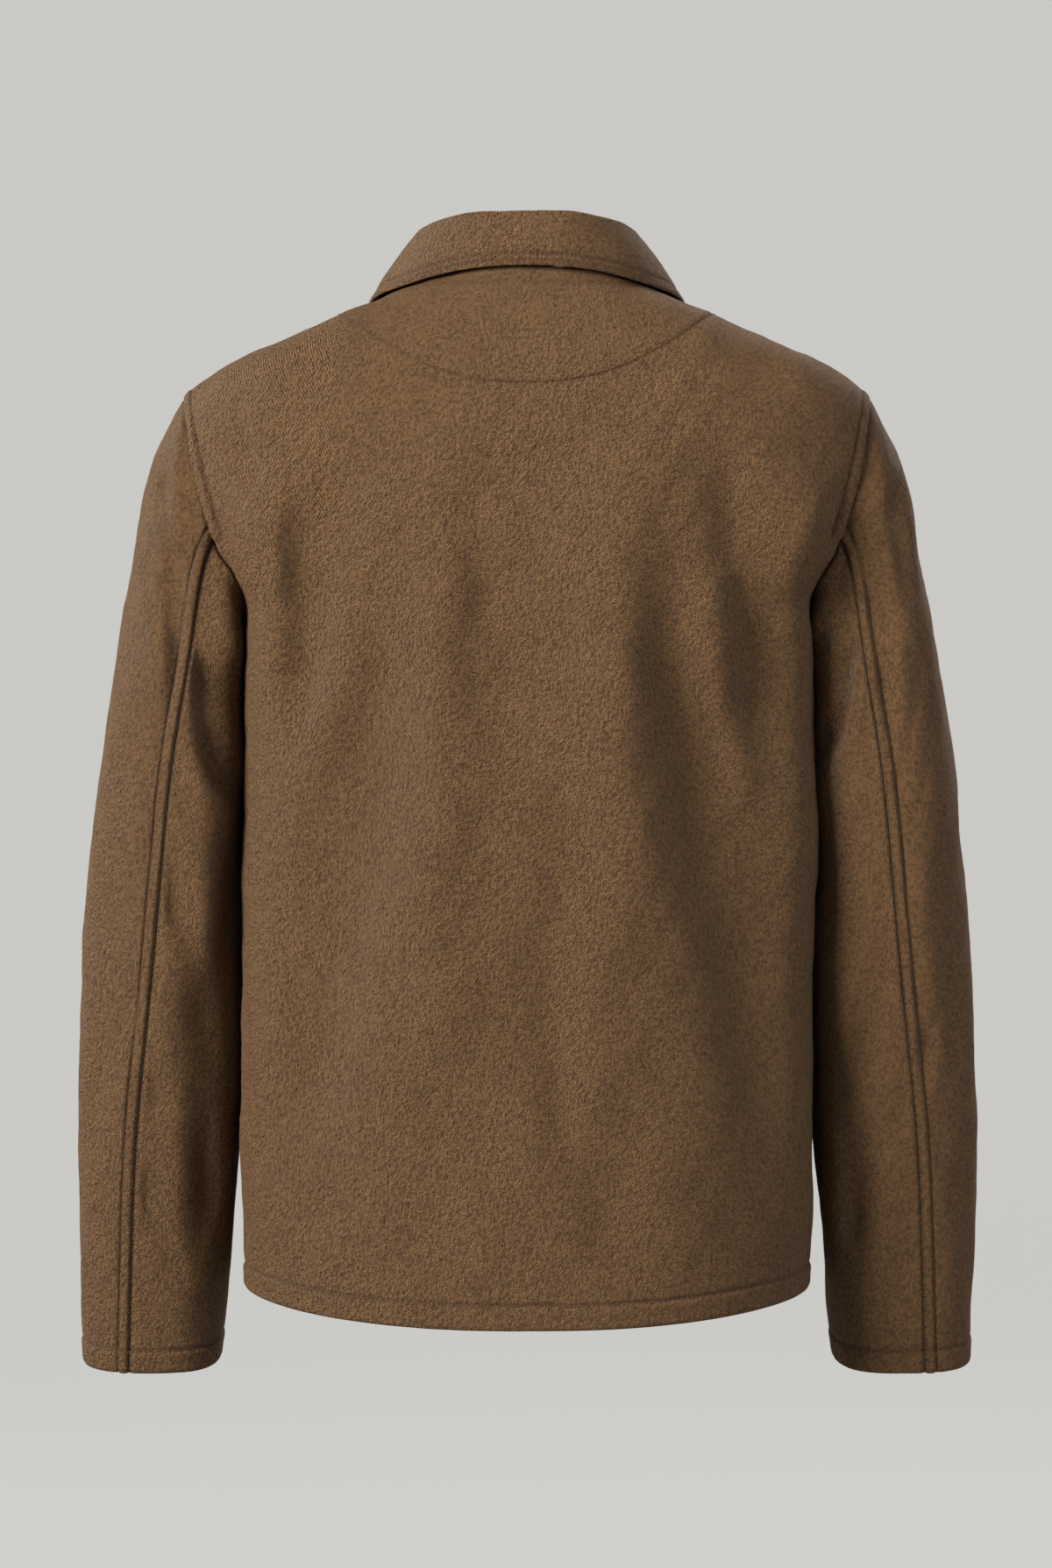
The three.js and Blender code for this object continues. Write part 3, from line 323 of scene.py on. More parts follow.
FRONT_FOLDS = (
    (19, 6.4, ((112, -100), (124, -140), (138, -190), (147, -260), (152, -320))),
    (25, 8.5, ((84, -165), (94, -243), (104, -330), (118, -410), (132, -500), (140, -590))),
    (14, -3.2, ((112, -230), (124, -300), (144, -380))),
    (20, -3.4, ((62, -170), (64, -260), (70, -350), (66, -460))),
    (18, 6.2, ((-108, -95), (-122, -150), (-136, -200), (-147, -270))),
    (24, 8.8, ((-76, -175), (-92, -260), (-104, -340), (-122, -430), (-134, -520), (-146, -600))),
    (19, -3.8, ((-60, -150), (-58, -250), (-66, -340), (-74, -440))),
    (13, -3.0, ((-116, -260), (-134, -330), (-150, -400))),
    (18, 2.4, ((-52, -500), (-50, -570), (-60, -640))),
    (14, 3.0, ((168, -360), (172, -450), (166, -560))),
    (14, 3.2, ((-168, -320), (-174, -420), (-168, -520))),
)
LEFT_SLEEVE_FOLDS = (
    (20, -9.5, ((-0.06, -38), (0.08, -41), (0.16, -44), (0.26, -52))),
    (18, 8.0, ((0.2, -22), (0.27, -32), (0.33, -44), (0.4, -62))),
    (15, -4.6, ((0.34, -30), (0.42, -38), (0.52, -40), (0.6, -36))),
    (12, 3.6, ((0.1, 6), (0.2, 1), (0.3, -6), (0.38, -10))),
    (13, 2.8, ((0.06, 36), (0.16, 40), (0.27, 34))),
    (12, 5.4, ((0.42, 196), (0.48, 215), (0.55, 240))),
    (10, -2.6, ((0.46, 178), (0.52, 200))),
    (12, 3.6, ((0.45, 10), (0.54, -14), (0.6, -42))),
    (19, 6.6, ((0.58, -34), (0.68, -42), (0.8, -44), (0.93, -48))),
    (11, 3.0, ((0.62, 26), (0.72, 4), (0.78, -20))),
    (15, 2.6, ((0.52, 44), (0.66, 38), (0.82, 46))),
    (10, 2.8, ((0.8, 12), (0.87, -8), (0.94, -28))),
    (17, 2.4, ((0.18, 66), (0.34, 76), (0.5, 68))),
    (16, 3.0, ((0.3, 140), (0.44, 128), (0.6, 138))),
    (14, 3.0, ((0.66, 150), (0.78, 170), (0.92, 160))),
)
RIGHT_SLEEVE_FOLDS = (
    (16, -6.0, ((-0.06, -40), (0.08, -46), (0.18, -52))),
    (13, 6.4, ((0.18, -26), (0.27, -40), (0.34, -58))),
    (12, 4.0, ((0.12, 0), (0.22, -8), (0.34, -4), (0.42, -12))),
    (13, 3.0, ((0.08, 40), (0.18, 34), (0.28, 40))),
    (11, -3.4, ((0.26, -24), (0.36, -34), (0.46, -30))),
    (12, 5.4, ((0.44, 194), (0.5, 214), (0.57, 242))),
    (12, 4.0, ((0.5, 6), (0.6, -16), (0.68, -44))),
    (16, 5.0, ((0.62, -32), (0.72, -40), (0.82, -36), (0.93, -44))),
    (11, 2.8, ((0.66, 24), (0.75, 2), (0.81, -22))),
    (15, 2.8, ((0.48, 50), (0.62, 40), (0.78, 48))),
    (10, 2.6, ((0.84, 16), (0.9, -2), (0.95, -22))),
    (17, 2.6, ((0.16, 66), (0.3, 78), (0.46, 68))),
    (16, 3.0, ((0.34, 146), (0.46, 132), (0.62, 144))),
    (14, 2.8, ((0.7, 156), (0.8, 172), (0.93, 164))),
)


def path_field(x, y, path):
    """The distance of points from a path, and how far along it they lie, from 0 to 1."""
    path = np.array(path, dtype=float)
    lengths = np.hypot(*np.diff(path, axis=0).T)
    total = lengths.sum()
    best = np.full(x.shape, 1e9)
    along = np.zeros(x.shape)
    run = 0.0
    for (ax, ay), (bx, by), length in zip(path[:-1], path[1:], lengths):
        dx, dy = bx - ax, by - ay
        t = ((x - ax) * dx + (y - ay) * dy) / (length * length)
        t_in = np.clip(t, 0.0, 1.0)
        d = np.hypot(x - ax - t_in * dx, y - ay - t_in * dy)
        nearer = d < best
        best = np.where(nearer, d, best)
        along = np.where(nearer, (run + t_in * length) / total, along)
        run += length
    return best, along


def fold_relief(x, y, folds):
    """How far the folds move the cloth out, with a low shoulder beside each trough."""
    relief = np.zeros(x.shape)
    for k, (width, depth, path) in enumerate(folds):
        d, along = path_field(x, y, path)
        width = width * (1.0 + 0.16 * np.sin(7.0 * along + 1.7 * k))
        ends = smooth(4.0 * along) * smooth(4.0 * (1.0 - along))
        strength = depth * ends * (1.0 + 0.18 * np.sin(11.0 * along + k))
        relief += 0.12 * strength * bell(d, 1.9 * width, 0.8 * width)
        relief -= strength * bell(d, 0.0, width)
    return relief


def slow_waves(a, b, seed):
    """The cloth's slight unevenness, in millimetres, longer along b than along a."""
    rng = np.random.default_rng(seed)
    total = np.zeros(np.shape(a))
    for wave_length in (96.0, 62.0, 40.0, 27.0, 18.0, 13.0):
        for _ in range(3):
            turn = rng.uniform(-0.5, 0.5)
            phase = rng.uniform(0.0, 2.0 * math.pi)
            k = 2.0 * math.pi / wave_length
            total += (
                0.0052
                * wave_length
                * np.sin(k * (a * math.cos(turn) + 0.45 * b * math.sin(turn)) + phase)
                * np.sin(0.55 * k * b * math.cos(turn) + 2.0 * phase)
            )
    return total


# ---------------------------------------------------------------- the body's outer face


def body_points(x, z, side):
    """Points (x, y, z) on the body's outer face."""
    x, z = np.broadcast_arrays(np.asarray(x, float), np.asarray(z, float))
    share = np.clip(np.abs(x) / BODY.at("half_width", z), 0.0, 1.0)
    power = BODY.at("power", z)
    depth = BODY.at("back" if side > 0 else "front", z)
    y = side * depth * (1.0 - share**power) ** (1.0 / power)
    return np.stack([x, y, z], axis=-1)


ARMHOLE_MIDDLE_Z = (UNDERARM_Z + SHOULDER_TIP_Z) / 2
ARMHOLE_HALF = (SHOULDER_TIP_Z - UNDERARM_Z) / 2


def armhole_z(angle):
    return ARMHOLE_MIDDLE_Z + ARMHOLE_HALF * np.sin(np.radians(angle))


def edge_x(z, side):
    """Where the side seam or the armhole lies at a height."""
    low = BODY.at("half_width", UNDERARM_Z)
    high = BODY.at("half_width", SHOULDER_TIP_Z)
    rise = np.clip((z - UNDERARM_Z) / (SHOULDER_TIP_Z - UNDERARM_Z), 0.0, 1.0)
    bow = np.sin(np.pi * rise)
    scoop = FRONT_SCOOP * bow if side < 0 else 0.0
    armhole = mix(low, high, rise + ARMHOLE_BOW * bow) - scoop
    return np.where((z <= UNDERARM_Z) | (z >= SHOULDER_TIP_Z), BODY.at("half_width", z), armhole)


SHOULDER_Z = np.linspace(SHOULDER_TIP_Z, NECK_POINT_Z, 500)
SHOULDER_X = BODY.at("half_width", SHOULDER_Z)


def shoulder_z(x):
    return np.interp(-np.abs(x), -SHOULDER_X, SHOULDER_Z)


def sag_z(x, end_x, edge_z, middle_z):
    return mix(middle_z, edge_z, np.clip(np.abs(x) / end_x, 0.0, 1.0) ** SAG_POWER)


def top_edge_z(x, side):
    """The shoulder seam, then the yoke seam at the back or the neckline at the front."""
    inner_z = YOKE_END_Z if side > 0 else NECK_POINT_Z
    middle_z = YOKE_SEAM_MIDDLE_Z if side > 0 else FRONT_NECK_MIDDLE_Z
    inner_x = float(BODY.at("half_width", inner_z))
    return np.where(np.abs(x) > inner_x, shoulder_z(x), sag_z(x, inner_x, inner_z, middle_z))


def body_line(start_x, end_x, side, edge_z, height_at, count=241):
    """A fine line of points over the body, at the heights that height_at gives."""
    widest = float(BODY.at("half_width", edge_z))
    power = float(BODY.at("power", edge_z))
    start = math.acos(min(1.0, start_x / widest) ** (power / 2))
    angle = np.linspace(start, math.pi / 2, count)
    share = np.clip(np.cos(angle) / math.cos(start), 0.0, 1.0) ** (2 / power)
    x = mix(end_x, start_x, share)
    return body_points(x, height_at(x), side)


def armhole_turn(z):
    """How far up the armhole a height lies, in even turns."""
    share = (z - ARMHOLE_MIDDLE_Z) / ARMHOLE_HALF
    return 0.5 + math.asin(max(-1.0, min(1.0, share))) / math.pi


def row_line(edge_z, side, end_x):
    """The line of one row: level below the underarm, then turning to the top edge."""
    start_x = float(edge_x(edge_z, side))
    middles = ROW_MIDDLES["back" if side > 0 else "front"]
    if edge_z <= UNDERARM_Z:
        middle_z = float(np.interp(edge_z, ROW_MIDDLES["edge"], middles))
        return body_line(
            start_x, end_x, side, edge_z, lambda x: sag_z(x, start_x, edge_z, middle_z)
        )
    low_x = float(BODY.at("half_width", UNDERARM_Z))

    def low_z(x):
        return sag_z(np.minimum(np.abs(x), low_x), low_x, UNDERARM_Z, middles[-1])

    low, top = float(low_z(start_x)), float(top_edge_z(start_x, side))
    edge_rise = (edge_z - low) / (top - low)
    turn = armhole_turn(edge_z)
    middle_rise = mix(turn, edge_rise, turn)

    def height_at(x):
        rise = mix(middle_rise, edge_rise, np.clip(np.abs(x) / start_x, 0, 1) ** ROW_SPREAD_POWER)
        return mix(low_z(x), top_edge_z(x, side), rise)

    return body_line(start_x, end_x, side, edge_z, height_at)


def run_of(line):
    return np.concatenate([[0.0], np.cumsum(np.linalg.norm(np.diff(line, axis=0), axis=1))])


def pick_along(line, distances):
    """Points at given distances along a line."""
    run = run_of(line)
    return np.stack([np.interp(distances, run, line[:, k]) for k in range(3)], axis=-1)


def steps(length, step, close_start=0.0, close_end=0.0, close_step=1.0):
    """Distances from 0 to length, at close steps near one end or both."""
    head = np.arange(0.0, close_start, close_step)
    tail = length - np.arange(0.0, close_end, close_step)[::-1]
    middle_end = length - close_end
    count = max(2, int(round((middle_end - close_start) / step)) + 1)
    middle = np.linspace(close_start, middle_end, count)
    return np.concatenate([head, middle, tail[tail > middle_end]])


def side_rows(step):
    """The heights at which a body panel's rows start, close-set at the hem and at the top."""
    low = SIDE_HEM_Z + steps(UNDERARM_Z - SIDE_HEM_Z, step, close_start=19.0)
    turns = steps(180.0, 2.2, close_start=6.0, close_end=8.0, close_step=1.2) - 90.0
    return np.concatenate([low[:-1], armhole_z(turns)])


def column_distances(length, hidden, edge_z, close_edge, step_count):
    """Distances along a row: close-set at its outer edge, then spread to the middle."""
    close = np.arange(0.0, close_edge, 1.0)
    like_top = float(smooth((edge_z - UNDERARM_Z) / (SHOULDER_TIP_Z - UNDERARM_Z)))
    share = np.linspace(0.0, 1.0, step_count)
    even = mix(close_edge, length + hidden, share) - hidden * (1 - (1 - share) ** 3)
    top = mix(close_edge, length, share)
    return np.concatenate([close, mix(even, top, like_top)])


def hidden_length(start, edge_z):
    return math.hypot(float(BODY.at("half_width", edge_z)) - abs(start[0]), start[1])


def back_grid(step):
    rows = []
    for edge_z in side_rows(step):
        line = row_line(edge_z, 1, 0.0)
        length = run_of(line)[-1]
        hidden = hidden_length(line[0], edge_z)
        picks = column_distances(length, hidden, edge_z, 13.0, int(250 / step))
        half = pick_along(line, picks)
        half[-1, 0] = 0.0
        rows.append(mirrored(half))
    return np.array(rows)


def front_grid(step):
    """The left front's rows, from its outer edge to the edge of the lap."""
    rows = []
    lap_x = np.arange(COLLAR_END - 1.4, -LAP - 0.01, -1.4)
    lap_x = np.append(lap_x[lap_x > -LAP + 0.5], -LAP)
    for edge_z in side_rows(step):
        line = row_line(edge_z, -1, COLLAR_END)
        length = run_of(line)[-1]
        hidden = hidden_length(line[0], edge_z)
        close = column_distances(length - 32.0, hidden, edge_z, 13.0, int(200 / step))
        picks = np.concatenate([close, np.linspace(length - 32.0, length, 14)[1:]])
        main = pick_along(line, picks)
        lap = body_points(lap_x, np.full(lap_x.shape, main[-1, 2]), -1)
        rows.append(np.concatenate([main, lap]))
    return np.array(rows)


def yoke_ends():
    """The shoulder seam's points from the end of the yoke seam to the neck."""
    z = np.linspace(YOKE_END_Z, NECK_POINT_Z, 300)
    line = np.stack([BODY.at("half_width", z), np.zeros(300), z], axis=-1)
    length = run_of(line)[-1]
    return pick_along(line, steps(length, 2.6, close_start=4.0, close_end=4.0))


def yoke_grid(step):
    ends = yoke_ends()
    run = run_of(ends)
    rows = []
    for end, share in zip(ends, run / run[-1]):
        middle_z = mix(YOKE_SEAM_MIDDLE_Z, BACK_NECK_MIDDLE_Z, share)
        end_x, end_z = float(end[0]), float(end[2])
        line = body_line(end_x, 0.0, 1, end_z, lambda x: sag_z(x, end_x, end_z, middle_z))
        length = run_of(line)[-1]
        half = pick_along(line, np.linspace(0.0, length, int(150 / step)))
        half[-1, 0] = 0.0
        rows.append(mirrored(half))
    return np.array(rows)


# ---------------------------------------------------------------- the sleeves' outer face


def sleeve_face(s, angle):
    a = np.radians(angle)
    out = (1.0 + np.sin(a)) / 2.0
    bow = np.maximum(0.0, 1.0 - np.abs(np.sin(a)) ** SLEEVE_POWER) ** (1.0 / SLEEVE_POWER)
    back = np.sign(np.cos(a)) * bow * SLEEVE.at("half_depth", s)
    return np.stack(
        [
            mix(SLEEVE.at("inner_x", s), SLEEVE.at("outer_x", s), out),
            SLEEVE.at("middle_y", s) + back,
            mix(SLEEVE.at("inner_z", s), SLEEVE.at("outer_z", s), out)
            - SLEEVE.at("lean", s) * back,
        ],
        axis=-1,
    )


def armhole_point(angle):
    """A point of the left armhole, by its angle round the sleeve."""
    side = 1 if -90.0 <= angle <= 90.0 else -1
    turned = angle if side > 0 else math.copysign(180.0, angle) - angle
    z = float(armhole_z(turned))
    return body_points(float(edge_x(z, side)), z, side)


def sleeve_grid(is_top, step):
    """The left sleeve's rows from the armhole to the cuff, with the place and angle of each point."""
    s = steps(SLEEVE_LENGTH, step, close_start=3.0, close_end=19.0) / SLEEVE_LENGTH
    back, front = SLEEVE_SEAMS.at("back", s), SLEEVE_SEAMS.at("front", s)
    if is_top:
        starts = steps(228.0, 1.25 * step, close_start=17.0, close_end=6.0, close_step=0.95) - 24.0
        low, middle, high = back, 90.0, front
    else:
        starts = steps(132.0, 1.25 * step, close_start=6.0, close_end=6.0, close_step=0.95) - 156.0
        low, middle, high = front - 360.0, -90.0, back
    fade = (1.0 - smooth(s / ARMHOLE_FADE))[:, None]
    columns, angles = [], []
    for start in starts:
        if start <= middle:
            share = (start - low[0]) / (middle - low[0])
            angle = mix(low, middle, share)
        else:
            share = (start - middle) / (high[0] - middle)
            angle = mix(middle, high, share)
        shift = armhole_point(start) - sleeve_face(0.0, start)
        columns.append(sleeve_face(s, angle) + shift * fade)
        angles.append(angle)
    points = np.stack(columns, axis=1)
    return points, np.repeat(s[:, None], len(starts), axis=1), np.stack(angles, axis=1)


def sleeve_fold_relief(place, angle, folds):
    relief = np.zeros(place.shape)
    for width, depth, path in folds:
        middle = np.mean([a for _, a in path])
        near = angle + 360.0 * np.round((middle - angle) / 360.0)
        path = np.array(path) * np.array([SLEEVE_LENGTH, SLEEVE_GIRTH])
        relief += fold_relief(place * SLEEVE_LENGTH, near * SLEEVE_GIRTH, ((width, depth, path),))
    return relief


# ---------------------------------------------------------------- the collar's frames


def neckline(step):
    """The neckline's points from the left end of the collar round the back to the right end."""
    neck_x = float(BODY.at("half_width", NECK_POINT_Z))
    front = body_line(neck_x, COLLAR_END, -1, NECK_POINT_Z, lambda x: top_edge_z(x, -1))
    back_z = (neck_x, NECK_POINT_Z, BACK_NECK_MIDDLE_Z)
    back = body_line(neck_x, 0.0, 1, NECK_POINT_Z, lambda x: sag_z(x, *back_z))
    left = np.concatenate([front[::-1], back[1:]])
    length = run_of(left)[-1]
    half = pick_along(left, steps(length, step, close_start=11.0))
    half[-1, 0] = 0.0
    return mirrored(half)


def collar_at(table, turn):
    x, y, z = (table.at(c, np.abs(turn)) for c in ("x", "y", "z"))
    return np.stack([np.where(turn < 0, -x, x), y, z], axis=-1)


def unit(v):
    return v / np.maximum(np.linalg.norm(v, axis=-1, keepdims=True), 1e-9)


def collar_frames(step):
    neck = neckline(step)
    turn = np.degrees(np.arctan2(neck[:, 0], neck[:, 1]))
    fold = collar_at(COLLAR_FOLD, turn)
    ring = collar_at(COLLAR_FOLD, turn + 2.0) - collar_at(COLLAR_FOLD, turn - 2.0)
    up = unit(fold - neck)
    out = unit(np.cross(ring, up))
    flat = fold * np.array([1.0, 1.0, 0.0])
    out = np.where((out * flat).sum(axis=1, keepdims=True) < 0, -out, out)
    return {"neck": neck, "fold": fold, "up": up, "out": out, "edge": collar_at(COLLAR_EDGE, turn)}


def off_fold(frames, outwards, upwards):
    return frames["fold"] + frames["out"] * outwards + frames["up"] * upwards


def fall_grid(step):
    """The collar's fall, from its lower edge up over the roll."""
    frames = collar_frames(step)
    rows = [off_fold(frames, -FOLD_RADIUS, -FOLD_RADIUS - FOLD_LEAD)]
    for angle in np.linspace(180.0, 0.0, 13):
        a = math.radians(angle)
        rows.append(off_fold(frames, FOLD_RADIUS * math.cos(a), FOLD_RADIUS * (math.sin(a) - 1.0)))
    start = off_fold(frames, FOLD_RADIUS, -FOLD_RADIUS)
    for share in np.concatenate([np.linspace(0.05, 0.72, 16), np.linspace(0.74, 1.0, 16)]):
        bulge = COLLAR_BULGE * math.sin(math.pi * min(1.0, share * 1.02)) ** 0.8
        rows.append(start + (frames["edge"] - start) * share + frames["out"] * bulge)
    return np.array(rows)[::-1]


def stand_grid(step, wall):
    frames = collar_frames(step)
    top = off_fold(frames, wall - FOLD_RADIUS, -(FOLD_RADIUS + FOLD_LEAD + 0.15))
    return np.array([frames["neck"] + (top - frames["neck"]) * t for t in np.linspace(0, 1, 9)])


# ---------------------------------------------------------------- cloth as closed walls


def grid_normals(points, outward_middle):
    """Unit normals of a grid, turned so that the middle one points along outward_middle."""
    normals = unit(np.cross(np.gradient(points, axis=1), np.gradient(points, axis=0)))
    for _ in range(2):
        wide = np.pad(normals, ((1, 1), (1, 1), (0, 0)), mode="edge")
        normals = unit(wide[:-2, 1:-1] + wide[2:, 1:-1] + wide[1:-1, :-2] + wide[1:-1, 2:])
    i, j = points.shape[0] // 2, points.shape[1] // 2
    if np.dot(normals[i, j], outward_middle) < 0:
        normals = -normals
    return normals


def distance_to(points, line):
    """The distance of every grid point from a line of points."""
    flat = points.reshape(-1, 3)
    line = pick_along(line, np.append(np.arange(0.0, run_of(line)[-1], 0.8), run_of(line)[-1]))
    best = np.full(len(flat), 1e18)
    for start in range(0, len(line), 64):
        part = line[start : start + 64]
        d = ((flat[:, None, :] - part[None, :, :]) ** 2).sum(axis=2)
        best = np.minimum(best, d.min(axis=1))
    return np.sqrt(best).reshape(points.shape[:2])


def seam_dip(d, depth=1.5):
    """The cloth turns into its seam."""
    return -depth * bell(d, 0.0, 1.5)


def stitched_groove(d, at, depth=0.8):
    return -depth * bell(d, at, 1.15)


def welt(d, width, height, mask=1.0):
    """Seam allowances pressed to one side and stitched down make a raised, rounded band."""
    across = np.clip(2.0 * d / width - 1.0, -1.0, 1.0)
    band = smooth(d / 1.6) * np.sqrt(1.0 - across**6)
    return mask * (height * band + stitched_groove(d, width, 1.3))


def turned_edge(d, depth):
    """A turned-up edge: full at the fold, with its stitches at the given depth."""
    swell = EDGE_SWELL * (1.0 - smooth((d - depth + 1.0) / 2.0))
    pucker = 0.25 * bell(d, depth - 4.0, 2.6)
    return swell + pucker + stitched_groove(d, depth, 1.2) - bell(d, 0.0, 1.1)


def crease_shade(*lines):
    """How deep in a seam or a row of stitches a point lies, from 0 to 1, given (distance, at): the mask
    of the painted shade that darkens the wool there.
    """
    return np.maximum.reduce([bell(d, at, PAINTED_SHADE_WIDTH) for d, at in lines])


def new_piece(name, places, faces, material=None, is_smooth=True):
    """A mesh object from points in metres and faces."""
    mesh = bpy.data.meshes.new(name)
    mesh.from_pydata(places.tolist(), [], faces.tolist())
    mesh.polygons.foreach_set("use_smooth", np.full(len(mesh.polygons), is_smooth))
    mesh.update()
    if material:
        mesh.materials.append(material)
    piece = bpy.data.objects.new(name, mesh)
    bpy.context.collection.objects.link(piece)
    return piece


def running_lengths(points, axis):
    """The length of a grid's lines up to each of its points."""
    lengths = np.linalg.norm(np.diff(points, axis=axis), axis=2)
    start = np.zeros_like(np.take(lengths, [0], axis=axis))
    return np.cumsum(np.concatenate([start, lengths], axis=axis), axis=axis)


def cloth_mesh(name, points, relief, walls, outward_middle, painted_shade):
    """A closed wall of cloth from a grid, its relief and its thickness, with its weave's UV map and the
    painted shade of its seams and stitch lines.
    """
    normals = grid_normals(points, np.array(outward_middle, dtype=float))
    outer = points + normals * relief[..., None]
    turned = grid_normals(outer, np.array(outward_middle, dtype=float))
    inner = outer - unit(normals + turned) * walls[..., None]
    rows, columns = points.shape[:2]
    places = np.concatenate([outer.reshape(-1, 3), inner.reshape(-1, 3)]) * MM
    index = np.arange(rows * columns).reshape(rows, columns)
    a, b = index[:-1, :-1].ravel(), index[:-1, 1:].ravel()
    c, d = index[1:, 1:].ravel(), index[1:, :-1].ravel()
    count = rows * columns
    front = np.stack([a, b, c, d], axis=1)
    loop = np.concatenate([index[0, :-1], index[:-1, -1], index[-1, :0:-1], index[:0:-1, 0]])
    following = np.roll(loop, -1)
    rim = np.stack([following, loop, loop + count, following + count], axis=1)
    faces = np.concatenate([front, front[:, ::-1] + count, rim])
    across, along = points[0, 1] - points[0, 0], points[1, 0] - points[0, 0]
    if np.dot(np.cross(across, along), normals[0, 0]) < 0:
        faces = faces[:, ::-1]
    piece = new_piece(name, places, faces)
    mesh, middle = piece.data, slice(columns // 2, columns // 2 + 1)
    u, v = running_lengths(points, 1), running_lengths(points, 0)
    v = np.repeat(v[:, middle], columns, axis=1)
    grid_uv = np.stack([u - u[:, middle], v], axis=-1).reshape(-1, 2) * MM
    layer = mesh.uv_layers.new(name="Weave")
    corner = np.empty(len(mesh.loops), dtype=np.int32)
    mesh.loops.foreach_get("vertex_index", corner)
    layer.data.foreach_set("uv", grid_uv[corner % count].ravel().astype(np.float32))
    # Painted shade for the wool's colour, 1 in the seams and along the rows of stitches.
    painted_shade_attribute = mesh.attributes.new("PaintedShade", "FLOAT", "POINT")
    shades = np.concatenate([painted_shade.ravel(), np.zeros(count)])
    painted_shade_attribute.data.foreach_set("value", shades.astype(np.float32))
    return piece, outer, turned


def finish_cloth(piece, node, material):
    """Gives a cloth piece its material and body, and hides the part that it stands for."""
    piece.data.materials.append(material)
    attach(piece, "root")
    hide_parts(node)


STITCH_PATHS = []  # rows of stitches, each (points, normals), gathered as the panels are made


def stitch_row(points, normals):
    STITCH_PATHS.append((points - normals * STITCH_SINK, normals))


def level_line(outer, normals, field, at):
    """The line over a grid on which a field first passes a value, one point a row."""
    line, ways = [], []
    for i in range(len(field)):
        passed = np.nonzero((field[i, :-1] < at) & (field[i, 1:] >= at))[0]
        if len(passed) == 0:
            continue
        j = passed[0]
        t = (at - field[i, j]) / (field[i, j + 1] - field[i, j])
        line.append(mix(outer[i, j], outer[i, j + 1], t))
        ways.append(mix(normals[i, j], normals[i, j + 1], t))
    return np.array(line), np.array(ways)


def swapped(grid):
    return np.swapaxes(grid, 0, 1)


# ---------------------------------------------------------------- body panels


def body_fields(points, edge_z, both_sides):
    """Distances of a body panel's points from its side seam, armhole, hem and top edge."""
    low = edge_z <= UNDERARM_Z + 0.01
    high = edge_z >= UNDERARM_Z - 0.01
    sides, arms = [points[low, 0]], [points[high, 0]]
    if both_sides:
        sides.append(points[low, -1])
        arms.append(points[high, -1])
    return {
        "side": np.minimum.reduce([distance_to(points, line) for line in sides]),
        "armhole": np.minimum.reduce([distance_to(points, line) for line in arms]),
        "hem": distance_to(points, points[0]),
        "top": distance_to(points, points[-1]),
    }


def calm_at(seams, hem, seam_reach=CALM_SEAM, hem_reach=CALM_HEM):
    """How freely the cloth folds: not at its seams, and little at its hem."""
    return smooth(seams / seam_reach) * mix(HEM_FOLD_SHARE, 1.0, smooth(hem / hem_reach))


def body_relief(points, fields, folds, strength, seed):
    x, z = points[..., 0], points[..., 2]
    armhole, side, hem, top = (fields[name] for name in ("armhole", "side", "hem", "top"))
    calm = calm_at(np.minimum.reduce([side, armhole, top]), hem)
    relief = calm * strength * (fold_relief(x, z, folds) + slow_waves(x, z, seed))
    relief += welt(armhole, WELT_WIDTH, ARMHOLE_WELT_HEIGHT, welt_mask(z))
    relief += seam_dip(armhole) + seam_dip(side) + seam_dip(top, 0.6)
    slope = bell(np.abs(x), SLOPE_X, SLOPE_WIDTH) * bell(top, 0.0, SLOPE_REACH)
    relief -= SHOULDER_SLOPE * slope * smooth(armhole / 24.0)
    pinch = bell(hem, HEM_DEPTH, PINCH_WIDTH) * bell(side, 0.0, PINCH_REACH)
    return relief + turned_edge(hem, HEM_DEPTH) - PINCH_DEPTH * pinch


def lap_armhole(points, armhole):
    """Bring the lower edge of the armhole out to the sleeve, so that no light shows between."""
    reach = bell(armhole, 0.0, LAP_REACH) * smooth((LAP_TOP_Z - points[..., 2]) / LAP_FADE)
    points[..., 0] += np.sign(points[..., 0]) * ARMHOLE_LAP * reach


def welt_mask(z):
    """The armhole's welt starts at its foot and flattens towards the shoulder."""
    flat = smooth((z - WELT_FLAT_Z) / WELT_FLAT_RUN)
    return smooth((z - WELT_FOOT_Z) / 3.0) * (1.0 - 0.6 * flat)


# Painted shade along the armhole, the welt's stitches, the side seam, the hem's stitches and the top
# edge.
def body_painted_shade(points, fields):
    armhole, above_foot = fields["armhole"], smooth((points[..., 2] - WELT_FOOT_Z) / 3.0)
    lines = ((armhole, 0.0), (fields["side"], 0.0), (fields["hem"], HEM_DEPTH))
    return np.maximum.reduce(
        [
            0.8 * crease_shade(*lines),
            above_foot * crease_shade((armhole, WELT_WIDTH)),
            0.45 * crease_shade((fields["top"], 0.0)),
        ]
    )


def hem_walls(fields, wall):
    """The wall's thickness, doubled where the hem is turned up inside."""
    return wall + HEM_TURN * (1.0 - smooth((fields["hem"] - HEM_DEPTH) / 1.6))


def armhole_stitches(outer, normals, armhole, edge_z):
    rows = edge_z > float(armhole_z(WELT_FOOT_ANGLE)) + 2.0
    stitch_row(*level_line(outer[rows], normals[rows], armhole[rows], WELT_WIDTH - 0.2))


def hem_stitches(outer, normals, field):
    stitch_row(*level_line(swapped(outer), swapped(normals), swapped(field), HEM_DEPTH))


